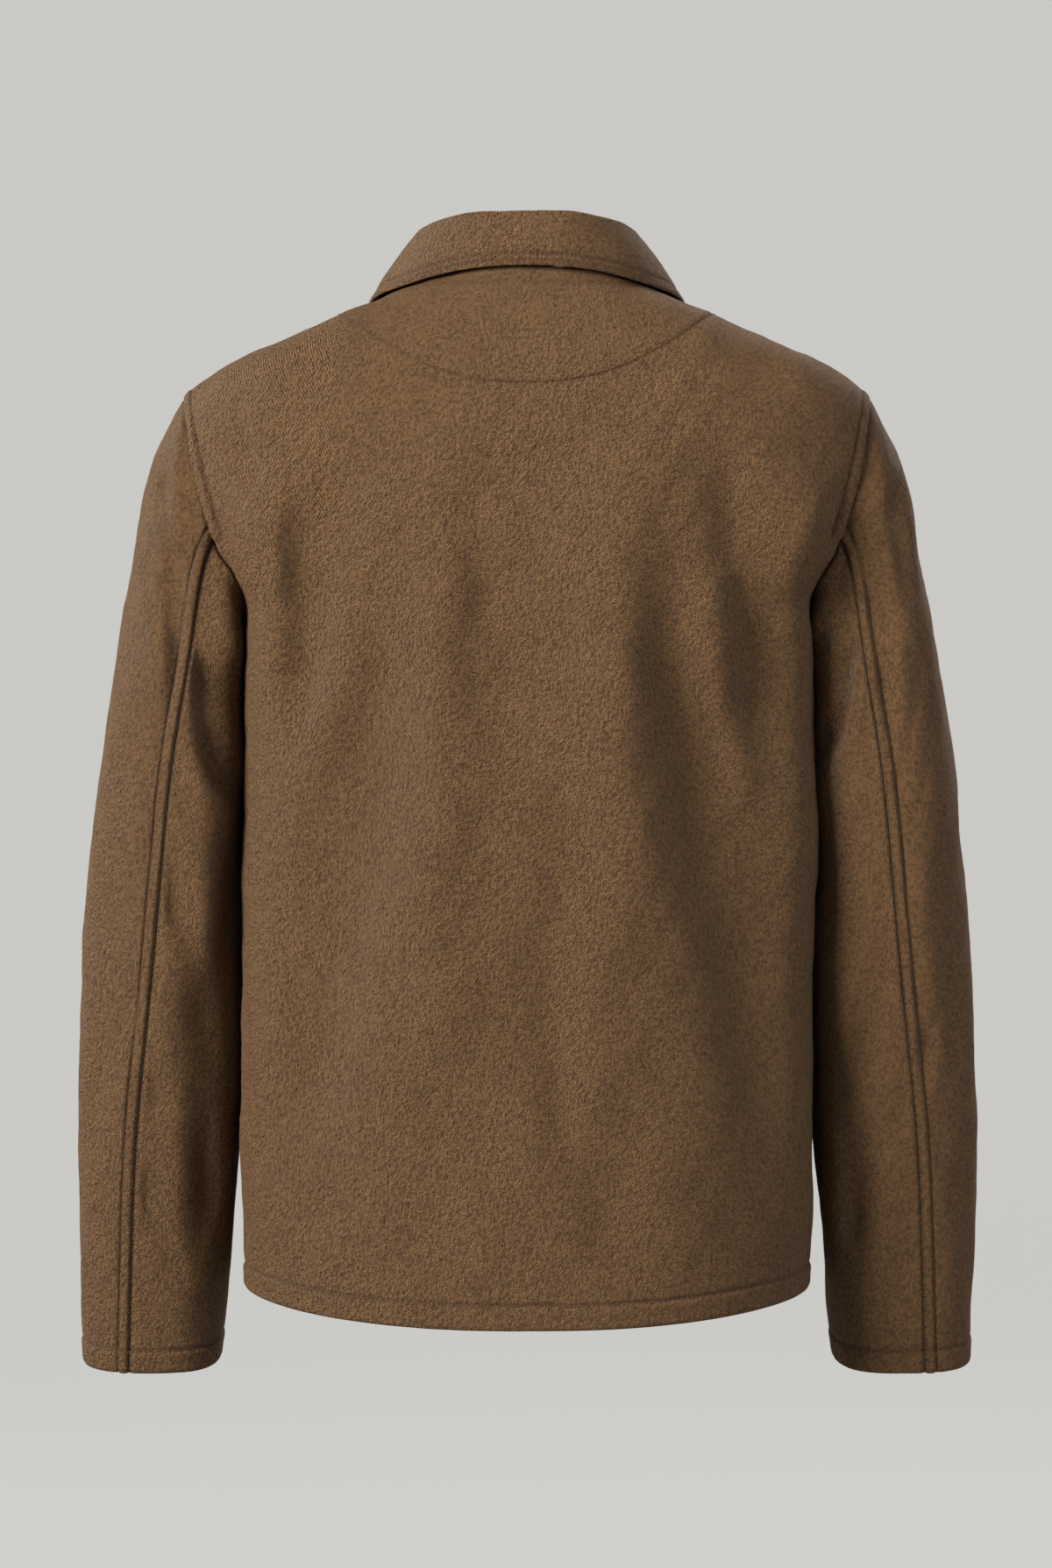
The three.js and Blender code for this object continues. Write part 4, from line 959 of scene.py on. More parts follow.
def make_back(shape, material):
    points = back_grid(shape.grid_step)
    edge_z = side_rows(shape.grid_step)
    fields = body_fields(points, edge_z, True)
    inside = np.minimum.reduce([fields["side"], fields["armhole"], 0.4 * fields["hem"]])
    across = points[..., 0]
    corner = bell(np.abs(across), np.where(across > 0, *CORNER_X), CORNER_RUN)
    below = smooth((CORNER_TOP_Z - points[..., 2]) / CORNER_FADE)
    points[..., 1] += CORNER_EASE * corner * below * smooth(inside / 30.0)
    lap_armhole(points, fields["armhole"])
    relief = body_relief(points, fields, BACK_FOLDS, shape.fold_strength, 11)
    # Painted shade along the back's seams and rows of stitches.
    walls, painted_shade = hem_walls(fields, shape.wall), body_painted_shade(points, fields)
    piece, outer, normals = cloth_mesh("wool_back", points, relief, walls, (0, 1, 0), painted_shade)
    half = points.shape[1] // 2
    for side in (slice(0, half), slice(None, half, -1)):
        armhole_stitches(outer[:, side], normals[:, side], fields["armhole"][:, side], edge_z)
    hem_stitches(outer, normals, fields["hem"])
    finish_cloth(piece, "back", material)
    return outer, normals


def make_yoke(shape, material):
    points = yoke_grid(shape.grid_step * 0.75)
    seam = distance_to(points, points[0])
    neck = distance_to(points, points[-1])
    ends = np.minimum(distance_to(points, points[:, 0]), distance_to(points, points[:, -1]))
    calm = smooth(np.minimum(seam, ends) / YOKE_CALM)
    relief = 0.6 * calm * shape.fold_strength * slow_waves(points[..., 0], points[..., 2], 5)
    relief += seam_dip(seam, 0.8) + seam_dip(ends, 0.8) + seam_dip(neck)
    relief += stitched_groove(neck, NECK_STITCH, 0.6)
    walls = np.full(seam.shape, shape.wall)
    # Painted shade along the yoke's seams and its row of stitches.
    painted_shade = np.maximum(
        0.45 * crease_shade((seam, 0.0), (ends, 0.0)), 0.6 * crease_shade((neck, NECK_STITCH))
    )
    piece, outer, normals = cloth_mesh("wool_yoke", points, relief, walls, (0, 1, 0), painted_shade)
    turned = [swapped(grid)[:, ::-1] for grid in (outer, normals, neck)]
    stitch_row(*level_line(*turned, NECK_STITCH))
    finish_cloth(piece, "back_yoke", material)
    return outer, normals


def make_front(shape, material, is_left):
    """One front: the left one laps over, and the right one sinks under it near the centre."""
    points = front_grid(shape.grid_step)
    edge_z = side_rows(shape.grid_step)
    fields = body_fields(points, edge_z, False)
    fields["front"] = distance_to(points, points[:, -1])
    side = 1.0 if is_left else -1.0
    lap_armhole(points, fields["armhole"])
    turned = points * np.array([side, 1.0, 1.0])
    strength = shape.fold_strength * smooth((points[..., 0] - FRONT_CALM_X) / 26.0)
    relief = body_relief(turned, fields, FRONT_FOLDS, strength, 23 if is_left else 29)
    relief += stitched_groove(fields["front"], FRONT_STITCH) - bell(fields["front"], 0.0, 1.1)
    if not is_left:
        under = smooth((UNDER_LAP_X - points[..., 0]) / LAP_RUN)
        hem = 1.0 - smooth((fields["hem"] - HEM_DEPTH) / 3.0)
        relief -= under * (shape.wall + UNDER_LAP_GAP + 2.3 * hem)
    walls = hem_walls(fields, shape.wall)
    node = "front_left" if is_left else "front_right"
    # Painted shade along the front's seams and rows of stitches.
    painted_stitch_shade = crease_shade((fields["front"], FRONT_STITCH))
    painted_shade = np.maximum(body_painted_shade(points, fields), painted_stitch_shade)
    outward = (side * 0.2, -1, 0)
    piece, outer, normals = cloth_mesh("wool_" + node, turned, relief, walls, outward, painted_shade)
    armhole_stitches(outer, normals, fields["armhole"], edge_z)
    hem_stitches(outer, normals, fields["hem"])
    if is_left:
        turned_rows = [grid[:, ::-1] for grid in (outer, normals, fields["front"])]
        stitch_row(*level_line(*turned_rows, FRONT_STITCH))
    finish_cloth(piece, node, material)
    return outer, normals


# ---------------------------------------------------------------- sleeves


def make_sleeve_piece(shape, material, is_left, is_top):
    points, place, angle = sleeve_grid(is_top, shape.grid_step)
    side = 1 if is_left else -1
    back_seam, front_seam = (0, -1) if is_top else (-1, 0)
    fields = {
        "armhole": distance_to(points, points[0]),
        "hem": distance_to(points, points[-1]),
        "back": distance_to(points, points[:, back_seam]),
        "front": distance_to(points, points[:, front_seam]),
    }
    armhole, hem, back, front = (fields[name] for name in ("armhole", "hem", "back", "front"))
    seams = np.minimum.reduce([armhole, back, front])
    calm = calm_at(np.minimum(back, front), hem, 12.0, 50.0) * smooth(armhole / 7.0)
    waves = slow_waves(angle * SLEEVE_GIRTH, place * SLEEVE_LENGTH, SLEEVE_SEEDS[is_left, is_top])
    folds = LEFT_SLEEVE_FOLDS if is_left else RIGHT_SLEEVE_FOLDS
    folded = sleeve_fold_relief(place, angle, folds)
    relief = calm * shape.fold_strength * (folded + waves)
    # Painted shade along the sleeve's seams and hem stitches, and on a top piece along its welt's
    # stitches.
    painted_shade = 0.75 * crease_shade((seams, 0.0), (hem, HEM_DEPTH))
    if is_top:
        relief += welt(back, SLEEVE_WELT_WIDTH, SLEEVE_WELT_HEIGHT)
        painted_shade = np.maximum(painted_shade, 0.5 * crease_shade((back, SLEEVE_WELT_WIDTH)))
    else:
        ended = smooth((place - ARM_EASE_ENDS[is_left]) / 0.07)
        window = smooth(armhole / 12.0) * (1.0 - ended)
        relief += ARM_EASE * window * bell(angle, ARM_EASE_ANGLE, ARM_EASE_WIDTH)
        window = smooth(armhole / 9.0) * (1.0 - smooth((place - 0.36) / 0.12))
        relief += ARM_CORNER * window * bell(angle, ARM_CORNER_ANGLE, ARM_CORNER_WIDTH)
    relief += seam_dip(armhole) + seam_dip(back) + seam_dip(front) + turned_edge(hem, HEM_DEPTH)
    turned = points * np.array([side, 1.0, 1.0])
    outward = (side, 0, 0) if is_top else (-side, 0, 0)
    node = "sleeve_%s_%s" % ("left" if is_left else "right", "top" if is_top else "under")
    walls = hem_walls(fields, shape.wall)
    piece, outer, normals = cloth_mesh("wool_" + node, turned, relief, walls, outward, painted_shade)
    hem_stitches(outer[::-1], normals[::-1], hem[::-1])
    if is_top:
        stitch_row(*level_line(outer, normals, back, SLEEVE_WELT_WIDTH - 0.2))
    finish_cloth(piece, node, material)
    return outer, normals


# ---------------------------------------------------------------- collar


def make_collar(shape, material):
    step = shape.grid_step * 0.8
    wall = shape.collar_wall
    points = fall_grid(step)
    border = np.concatenate([points[:, 0][::-1], points[0, 1:-1], points[:, -1]])
    edge = distance_to(points, border)
    inside = np.arange(len(points))[:, None] > len(points) - 9
    edge = np.where(inside, 60.0, edge)
    waves = slow_waves(points[..., 0] * 1.2, points[..., 2] + points[..., 1], 61)
    relief = 0.45 * shape.fold_strength * smooth(edge / 18.0) * waves
    relief += 0.55 * (1.0 - smooth((edge - 2.0) / 4.5)) + stitched_groove(edge, COLLAR_STITCH)
    relief += stitched_groove(edge, ROLL_WIDTH, 0.5)
    relief -= 1.2 * bell(edge, 0.0, 1.2)
    walls = mix(COLLAR_EDGE_WALL, wall, smooth((edge - 0.5) / 5.0))
    # Painted shade along the collar's two rows of stitches.
    painted_shade = 0.8 * crease_shade((edge, COLLAR_STITCH), (edge, ROLL_WIDTH))
    name = "wool_collar_fall"
    piece, outer, normals = cloth_mesh(name, points, relief, walls, (0, 1, 0), painted_shade)
    low = [swapped(grid[: len(points) - 10]) for grid in (outer, normals, edge)]
    stitch_row(*level_line(*low, COLLAR_STITCH))
    finish_cloth(piece, "collar_fall", material)
    points = stand_grid(step, wall)
    even = np.zeros(points.shape[:2])
    stand, *_ = cloth_mesh("wool_collar_stand", points, even, even + wall, (0, 1, 0), even)
    finish_cloth(stand, "collar_stand", material)
    return outer, normals


# ---------------------------------------------------------------- stitches, nap and buttons


def needles(name, starts, tips, width, material):
    """Many thin closed needles as one mesh: a triangle at each start, running to its tip."""
    way = unit(tips - starts)
    aside = unit(np.cross(way, np.where(np.abs(way[:, 2:3]) > 0.8, [[1, 0, 0]], [[0, 0, 1]])))
    over = np.cross(way, aside)
    corners = [starts + width * (aside * math.cos(t) + over * math.sin(t)) for t in NEEDLE_TURNS]
    places = np.stack([*corners, tips], axis=1).reshape(-1, 3) * MM
    base = np.arange(len(starts))[:, None] * 4
    corners = np.array(((0, 2, 1), (0, 1, 3), (1, 2, 3), (2, 0, 3)))
    faces = np.concatenate([base + corner for corner in corners])
    piece = new_piece(name, places, faces, material, is_smooth=False)
    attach(piece, "root")


def spindles(name, starts, ends, ways, radius, material, slot="wool"):
    """Many stitches as one mesh: each a four-sided spindle from its start to its end."""
    along = ends - starts
    aside = unit(np.cross(along, ways))
    over = unit(np.cross(aside, along))
    rings = [starts[:, None]]
    for share, girth in ((0.14, 0.75), (0.5, 1.0), (0.86, 0.75)):
        middle = starts + along * share + over * radius * 0.5 * math.sin(math.pi * share)
        around = [aside * math.cos(t) + over * math.sin(t) for t in SPINDLE_TURNS]
        rings.append(np.stack([middle + radius * girth * way for way in around], axis=1))
    rings.append(ends[:, None])
    places = np.concatenate(rings, axis=1)
    size = places.shape[1]
    faces = []
    for k in range(4):
        n = (k + 1) % 4
        faces.append((0, 1 + n, 1 + k))
        faces.append((9 + k, 9 + n, 13))
        for ring in (1, 5):
            faces.append((ring + k, ring + n, ring + 4 + n))
            faces.append((ring + k, ring + 4 + n, ring + 4 + k))
    base = np.arange(len(starts))[:, None] * size
    index = np.concatenate([base + np.array(face) for face in faces])
    piece = new_piece(name, places.reshape(-1, 3) * MM, index, material)
    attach(piece, "root")


def make_stitches(shape, material):
    """The rows of stitches that were laid out with the panels, sunk a little into the wool."""
    starts, ends, ways = [], [], []
    for points, normals in STITCH_PATHS:
        if len(points) < 3:
            continue
        run = run_of(points)
        pitch, length = shape.stitch_pitch, shape.stitch_pitch * 0.78
        begin = np.arange(0.5 * pitch, run[-1] - pitch, pitch)
        starts.append(pick_along(points, begin))
        ends.append(pick_along(points, begin + length))
        ways.append(unit(np.stack([np.interp(begin, run, n) for n in normals.T], axis=-1)))
    rows = [np.concatenate(row) for row in (starts, ends, ways)]
    spindles("stitches", *rows, STITCH_RADIUS, material)


def make_nap(shape, material, name, faces, count, seed):
    """Loose fibres that stand off the wool, spread evenly over the panels' outer faces."""
    rng = np.random.default_rng(seed)
    roots, ways = [], []
    cells = [np.cross(np.diff(p, axis=0)[:, :-1], np.diff(p, axis=1)[:-1]) for p, _ in faces]
    areas = [np.linalg.norm(cell, axis=2) for cell in cells]
    total = sum(a.sum() for a in areas)
    for (points, normals), area in zip(faces, areas):
        share = area.ravel() / area.sum()
        number = int(count * area.sum() / total)
        cell = rng.choice(len(share), size=number, p=share)
        i, j = np.unravel_index(cell, area.shape)
        a, b = rng.random((2, number, 1))
        low = mix(points[i, j], points[i, j + 1], a)
        high = mix(points[i + 1, j], points[i + 1, j + 1], a)
        roots.append(mix(low, high, b))
        ways.append(normals[i, j])
    roots, ways = np.concatenate(roots), np.concatenate(ways)
    around = unit(rng.normal(size=roots.shape))
    flat = unit(around - ways * (around * ways).sum(axis=1, keepdims=True))
    down = unit(np.array([0.0, 0.0, -1.0]) - ways * -ways[:, 2:3])
    lift = rng.uniform(0.12, 0.62, size=(len(roots), 1))
    length = shape.fibre_length * rng.uniform(0.45, 1.25, size=(len(roots), 1))
    way = unit(flat + 0.7 * down + ways * lift)
    needles(name, roots - ways * 0.15, roots + way * length, shape.fibre_width, material)


def make_button(number, material, thread):
    """One button with four holes, sewn on with crossed thread."""
    z = FIRST_BUTTON_Z - (number - 1) * BUTTON_SPACING
    place, above, below = (body_points(0.0, z + rise, -1) for rise in (0.0, 1.0, -1.0))
    side = np.array([1.0, 0.0, 0.0])
    normal = unit(np.cross(side, unit(above - below)))
    if normal[1] > 0:
        normal = -normal
    up = np.cross(normal, side)
    bm = bmesh.new()
    turns = np.arange(BUTTON_SIDES) * 2 * math.pi / BUTTON_SIDES
    rings = []
    for radius, height in BUTTON_PROFILE:
        ring = [(radius * math.cos(a), radius * math.sin(a), height) for a in turns]
        rings.append([bm.verts.new(corner) for corner in (ring if radius else ring[:1])])
    for low, high in zip(rings, rings[1:]):
        for k in range(BUTTON_SIDES):
            n = (k + 1) % BUTTON_SIDES
            if len(low) == 1:
                bm.faces.new((low[0], high[n], high[k]))
            elif len(high) == 1:
                bm.faces.new((low[k], low[n], high[0]))
            else:
                bm.faces.new((low[k], low[n], high[n], high[k]))
    bmesh.ops.recalc_face_normals(bm, faces=bm.faces)
    mesh = bpy.data.meshes.new("horn_button_%d" % number)
    bm.to_mesh(mesh)
    bm.free()
    piece = bpy.data.objects.new(mesh.name, mesh)
    bpy.context.collection.objects.link(piece)
    cutters = []
    for sx, sy in ((1, 1), (-1, 1), (-1, -1), (1, -1)):
        bpy.ops.mesh.primitive_cylinder_add(
            vertices=20,
            radius=HOLE_RADIUS,
            depth=8,
            location=(sx * HOLE_OFFSET, sy * HOLE_OFFSET, 2),
        )
        cutters.append(bpy.context.object)
    bpy.ops.object.select_all(action="DESELECT")
    for cutter in cutters:
        cutter.select_set(True)
    bpy.context.view_layer.objects.active = cutters[0]
    bpy.ops.object.join()
    cutter = bpy.context.object
    cut = piece.modifiers.new("holes", "BOOLEAN")
    cut.operation, cut.object, cut.solver = "DIFFERENCE", cutter, "EXACT"
    graph = bpy.context.evaluated_depsgraph_get()
    made = bpy.data.meshes.new_from_object(piece.evaluated_get(graph))
    piece.modifiers.clear()
    piece.data = made
    bpy.data.objects.remove(cutter, do_unlink=True)
    turn = Matrix([side, up, normal]).transposed().to_4x4()
    origin = place + normal * 0.5
    move = Matrix.Translation(Vector(origin * MM)) @ turn @ Matrix.Scale(MM, 4)
    piece.data.transform(move)
    if move.determinant() < 0:
        piece.data.flip_normals()
    for face in piece.data.polygons:
        face.use_smooth = True
    piece.data.materials.append(material)
    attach(piece, "root")
    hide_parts("button_%d" % number)
    starts, ends = [], []
    for sign, height in ((1, 2.75), (-1, 3.05)):  # the second stitch crosses over the first
        start = (side * sign + up) * HOLE_OFFSET
        across = (side - up * sign) / math.sqrt(2.0)
        for shift in (-THREAD_SHIFT, 0.0, THREAD_SHIFT):
            middle = origin + normal * height + across * shift
            starts.append(middle + start)
            ends.append(middle - start)
    ways = np.repeat(normal[None, :], len(starts), axis=0)
    name = "button_thread_%d" % number
    spindles(name, np.array(starts), np.array(ends), ways, THREAD_RADIUS, thread, slot="buttons")
    return place, normal, up


def make_buttonhole(number, place, normal, up, thread):
    """A sewn buttonhole beside the button: close stitches round a slit."""
    near, far = BUTTONHOLE_X
    threads = []
    for x in np.linspace(near, far, 20):
        threads += [((x, sign * 0.25), (x + 0.1, sign * 1.9)) for sign in (-1.0, 1.0)]
    for t in np.radians(np.linspace(-75.0, 75.0, 9)):
        start = (far + 0.3 * math.cos(t), 0.3 * math.sin(t))
        threads.append((start, (far + 2.0 * math.cos(t), 1.95 * math.sin(t))))
    starts, ends = (
        np.array([body_points(x, place[2] + up[2] * y, -1) + normal * 0.12 for x, y in row])
        for row in zip(*threads)
    )
    ways = np.repeat(normal[None, :], len(starts), axis=0)
    spindles("buttonhole_%d" % number, starts, ends, ways, BUTTONHOLE_THREAD_RADIUS, thread)


# ---------------------------------------------------------------- materials


def new_group(name, inputs, outputs):
    """An empty shader node group with its named sockets."""
    group = bpy.data.node_groups.new(name, "ShaderNodeTree")
    for label, kind in inputs:
        group.interface.new_socket(label, in_out="INPUT", socket_type=kind)
    for label, kind in outputs:
        group.interface.new_socket(label, in_out="OUTPUT", socket_type=kind)
    return group, group.nodes.new("NodeGroupInput"), group.nodes.new("NodeGroupOutput")


def math_node(tree, operation, *values):
    node = tree.nodes.new("ShaderNodeMath")
    node.operation = operation
    for socket, value in zip(node.inputs, values):
        if isinstance(value, (int, float)):
            socket.default_value = value
        else:
            tree.links.new(value, socket)
    return node.outputs[0]


def noise_node(tree, vector, scale, detail, roughness, distortion=0.0):
    node = tree.nodes.new("ShaderNodeTexNoise")
    names = ("Scale", "Detail", "Roughness", "Distortion")
    for name, number in zip(names, (scale, detail, roughness, distortion)):
        node.inputs[name].default_value = number
    tree.links.new(vector, node.inputs["Vector"])
    return node.outputs["Fac"]


def stretched(tree, vector, scale):
    node = tree.nodes.new("ShaderNodeVectorMath")
    node.operation = "MULTIPLY"
    node.inputs[1].default_value = scale
    tree.links.new(vector, node.inputs[0])
    return node.outputs[0]


def map_range(tree, value, low, high, to_low=0.0, to_high=1.0):
    node = tree.nodes.new("ShaderNodeMapRange")
    sockets = ("From Min", "From Max", "To Min", "To Max")
    for name, number in zip(sockets, (low, high, to_low, to_high)):
        node.inputs[name].default_value = number
    tree.links.new(value, node.inputs["Value"])
    return node.outputs["Result"]


# The nap's noises, by their features in one metre, and its twill lines in radians a metre.
GRAIN_SCALE = 1100.0
TUFT_SCALE = 470.0
LOCK_SCALE = 225.0
CLOUD_SCALE = 42.0
PATCH_SCALE = 13.0
TWILL_ACROSS, TWILL_ALONG = 3400.0, 2900.0
HANGING = (1.0, 1.0, 0.85)  # tufts and locks are longer downwards
BUMP_DISTANCE = 0.0066
SHEEN_TINT = (0.72, 0.53, 0.37, 1.0)
# How strongly, and towards how dark a tone, painted shade darkens the wool in seams and along stitches.
PAINTED_SHADE_STRENGTH, PAINTED_SHADE_TONE = 0.62, 0.45


def brushed_nap_group():
    """Brushed wool over a twill weave: how light it is, and how high its grain and locks stand. It is
    lighter where they stand high, so the pits between them carry painted shade.

    Place is in metres over the jacket, and Weave runs along the cloth's own threads.
    """
    group, given, out = new_group(
        "Brushed nap",
        [("Place", "NodeSocketVector"), ("Weave", "NodeSocketVector"), ("Twill", "NodeSocketFloat")],
        [("Shade", "NodeSocketFloat"), ("Height", "NodeSocketFloat")],
    )

    def weighted(*terms):
        """The sum of values times their weights."""
        products = [math_node(group, "MULTIPLY", value, weight) for value, weight in terms]
        whole = products[0]
        for product in products[1:]:
            whole = math_node(group, "ADD", whole, product)
        return whole

    place = given.outputs["Place"]
    hanging = stretched(group, place, HANGING)
    grain = noise_node(group, place, GRAIN_SCALE, 2.0, 0.7)
    tufts = noise_node(group, hanging, TUFT_SCALE, 2.0, 0.62, 0.1)
    locks = noise_node(group, hanging, LOCK_SCALE, 2.0, 0.55, 0.5)
    clouds = noise_node(group, place, CLOUD_SCALE, 3.0, 0.55, 0.4)
    patches = noise_node(group, place, PATCH_SCALE, 1.0, 0.5, 0.2)

    # Worm-like locks: a narrow ridge runs wherever the noise crosses its middle value.
    centred = math_node(group, "ABSOLUTE", math_node(group, "SUBTRACT", locks, 0.5))
    ridge = map_range(group, centred, 0.0, 0.07, 1.0, 0.0)
    worms = math_node(group, "MULTIPLY", ridge, map_range(group, patches, 0.42, 0.66, 0.1, 1.0))

    parts = group.nodes.new("ShaderNodeSeparateXYZ")
    group.links.new(given.outputs["Weave"], parts.inputs[0])
    across, along = (parts.outputs["X"], TWILL_ACROSS), (parts.outputs["Y"], TWILL_ALONG)
    line = weighted(across, along, (tufts, 2.5))
    twill = math_node(group, "MULTIPLY", math_node(group, "SINE", line), given.outputs["Twill"])

    height = weighted((grain, 1.3), (tufts, 2.3), (locks, 1.1), (worms, 0.25), (twill, 0.24))
    group.links.new(height, out.inputs["Height"])
    # The tone: the wool's own clouds and twill lines, and painted shade in the pits, as the grain, tufts
    # and locks are lighter where they stand high.
    shade = weighted(
        (map_range(group, grain, 0.34, 0.66), 0.3),
        (map_range(group, tufts, 0.37, 0.58), 0.46),
        (map_range(group, locks, 0.34, 0.6), 0.12),
        (map_range(group, clouds, 0.3, 0.7), 0.1),
        (worms, 0.04),
        (twill, 0.1),
    )
    group.links.new(shade, out.inputs["Shade"])
    return group


def new_material(name, roughness, specular):
    material = bpy.data.materials.new(name)
    material.use_nodes = True
    shader = material.node_tree.nodes["Principled BSDF"]
    shader.inputs["Roughness"].default_value = roughness
    shader.inputs["Specular IOR Level"].default_value = specular
    return material.node_tree, shader


def color_mix(tree, factor, a, b):
    node = tree.nodes.new("ShaderNodeMix")
    node.data_type = "RGBA"
    tree.links.new(factor, node.inputs["Factor"])
    for socket, value in ((node.inputs[6], a), (node.inputs[7], b)):
        if isinstance(value, bpy.types.NodeSocket):
            tree.links.new(value, socket)
        else:
            socket.default_value = (*value, 1.0)
    return node.outputs[2]


def nap_node(tree, group, twill):
    nap = tree.nodes.new("ShaderNodeGroup")
    nap.node_tree = group
    nap.inputs["Twill"].default_value = twill
    tree.links.new(object_place(tree), nap.inputs["Place"])
    return nap


def object_place(tree):
    return tree.nodes.new("ShaderNodeTexCoord").outputs["Object"]


def wool_material(group, colours):
    tree, shader = new_material("Camel brushed wool", 0.93, 0.12)
    shader.inputs["Sheen Weight"].default_value = colours.sheen
    shader.inputs["Sheen Roughness"].default_value = 0.3
    shader.inputs["Sheen Tint"].default_value = SHEEN_TINT
    weave = tree.nodes.new("ShaderNodeUVMap")
    weave.uv_map = "Weave"
    nap = nap_node(tree, group, 1.0)
    tree.links.new(weave.outputs["UV"], nap.inputs["Weave"])
    # The wool's own tone, with painted shade in the pits of its nap.
    base = color_mix(tree, nap.outputs["Shade"], colours.wool_dark[:], colours.wool_light[:])
    # Painted shade: the wool is darkened in its seams and along its rows of stitches.
    painted_shade_attribute = tree.nodes.new("ShaderNodeAttribute")
    painted_shade_attribute.attribute_name = "PaintedShade"
    deep = math_node(tree, "MULTIPLY", painted_shade_attribute.outputs["Fac"], PAINTED_SHADE_STRENGTH)
    painted_shade_wool = tuple(PAINTED_SHADE_TONE * c for c in colours.wool_dark)
    tree.links.new(color_mix(tree, deep, base, painted_shade_wool), shader.inputs["Base Color"])
    bump = tree.nodes.new("ShaderNodeBump")
    bump.inputs["Strength"].default_value = 1.0
    bump.inputs["Distance"].default_value = BUMP_DISTANCE
    tree.links.new(nap.outputs["Height"], bump.inputs["Height"])
    tree.links.new(bump.outputs["Normal"], shader.inputs["Normal"])


def fibre_material(colours):
    tree, shader = new_material("Loose wool fibre", 0.85, 0.2)
    tone = noise_node(tree, object_place(tree), 420.0, 1.0, 0.5)
    mixed = color_mix(tree, tone, colours.wool_light[:], colours.wool_fibre[:])
    tree.links.new(mixed, shader.inputs["Base Color"])


def thread_material(group, colours):
    tree, shader = new_material("Tonal thread", 0.7, 0.25)
    nap = nap_node(tree, group, 0.0)
    dark = [0.8 * c for c in colours.thread]
    mixed = color_mix(tree, nap.outputs["Shade"], dark, colours.thread[:])
    tree.links.new(mixed, shader.inputs["Base Color"])


def horn_material(colours):
    tree, shader = new_material("Dark horn", 0.34, 0.5)
    place = object_place(tree)
    marble = noise_node(tree, stretched(tree, place, (1.0, 1.0, 3.6)), 95.0, 4.0, 0.6, 1.4)
    mixed = color_mix(tree, marble, colours.horn_dark[:], colours.horn_light[:])
    tree.links.new(mixed, shader.inputs["Base Color"])
    fine = noise_node(tree, place, 900.0, 2.0, 0.5)
    rough = map_range(tree, fine, 0.0, 1.0, 0.26, 0.46)
    tree.links.new(rough, shader.inputs["Roughness"])


def materials():
    """The jacket's materials, made once and then found by name."""
    if "Camel brushed wool" not in bpy.data.materials:
        colours = bpy.context.scene.jacket_colours
        group = brushed_nap_group()
        wool_material(group, colours)
        fibre_material(colours)
        thread_material(group, colours)
        horn_material(colours)
    found = bpy.data.materials
    return {
        "wool": found["Camel brushed wool"],
        "fibre": found["Loose wool fibre"],
        "thread": found["Tonal thread"],
        "horn": found["Dark horn"],
    }


# ---------------------------------------------------------------- what a user would change


def amount(name, description, default, **more):
    return bpy.props.FloatProperty(name=name, description=description, default=default, **more)


def colour(name, description, default):
    return bpy.props.FloatVectorProperty(
        name=name, description=description, default=default, subtype="COLOR", size=3, min=0, max=1
    )


class JacketShape(bpy.types.PropertyGroup):
    """The sizes of the cloth and its sewing, in millimetres."""

    grid_step: amount("Grid step", "Spacing of the cloth's points, mm", 4.0, min=2.0)
    wall: amount("Wool", "Thickness of one layer of wool, mm", 2.0)
    collar_wall: amount("Collar", "Thickness of the collar's layers, mm", 2.6)
    fold_strength: amount("Folds", "How deep the folds are", 1.0, subtype="FACTOR")
    stitch_pitch: amount("Stitch", "Length of one stitch and its gap, mm", 3.3)
    fibre_length: amount("Fibre length", "Length of a loose fibre, mm", 2.4)
    fibre_width: amount("Fibre width", "Thickness of a loose fibre, mm", 0.06)
    fibre_count: bpy.props.IntProperty(
        name="Fibres", description="How many loose fibres stand off the wool", default=46000
    )


class JacketColours(bpy.types.PropertyGroup):
    """The colours of the wool, the thread and the buttons."""

    # The deep colour is the wool's own darker tone and the painted shade in the pits of its nap and in
    # its seams.
    wool_dark: colour("Wool, deep", "The wool between its locks", (0.080, 0.038, 0.0152))
    wool_light: colour("Wool, nap", "The wool's brushed nap", (0.318, 0.168, 0.0715))
    wool_fibre: colour("Wool fibre", "Loose fibres on the nap", (0.27, 0.155, 0.08))
    thread: colour("Thread", "The tonal sewing thread", (0.12, 0.064, 0.031))
    horn_dark: colour("Horn, dark", "The buttons' dark streaks", (0.018, 0.01, 0.006))
    horn_light: colour("Horn, light", "The buttons' light streaks", (0.095, 0.055, 0.03))
    sheen: amount("Sheen", "Strength of the wool's sheen", 0.14, subtype="FACTOR")


class JacketStage(bpy.types.PropertyGroup):
    """The studio round the jacket."""

    distance: amount("Camera distance", "From the jacket's middle", 2.3, unit="LENGTH")
    eye_height: amount("Camera height", "Against the neck base", -0.324, unit="LENGTH")
    lens: amount("Lens", "Focal length on a 36 mm frame, mm", 78.3)
    key: amount("Key light", "Power of the soft key light", 196.0, unit="POWER")
    fill: amount("Fill light", "Power of the fill light", 27.0, unit="POWER")
    front: amount("Front light", "Power of the light on the front", 85.0, unit="POWER")
    backdrop: colour("Backdrop", "The plain pale floor and wall", (0.584, 0.578, 0.552))


# ---------------------------------------------------------------- operators

FACES = {"body": [], "sleeves": [], "collar": []}


class JACKET_OT_make_body(bpy.types.Operator):
    """Makes the back, its yoke and the two fronts"""

    bl_idname = "jacket.make_body"
    bl_label = "Body panels"

    def execute(self, context):
        shape, wool = context.scene.jacket_shape, materials()["wool"]
        FACES["body"] = [
            make_back(shape, wool),
            make_yoke(shape, wool),
            make_front(shape, wool, True),
            make_front(shape, wool, False),
        ]
        return {"FINISHED"}


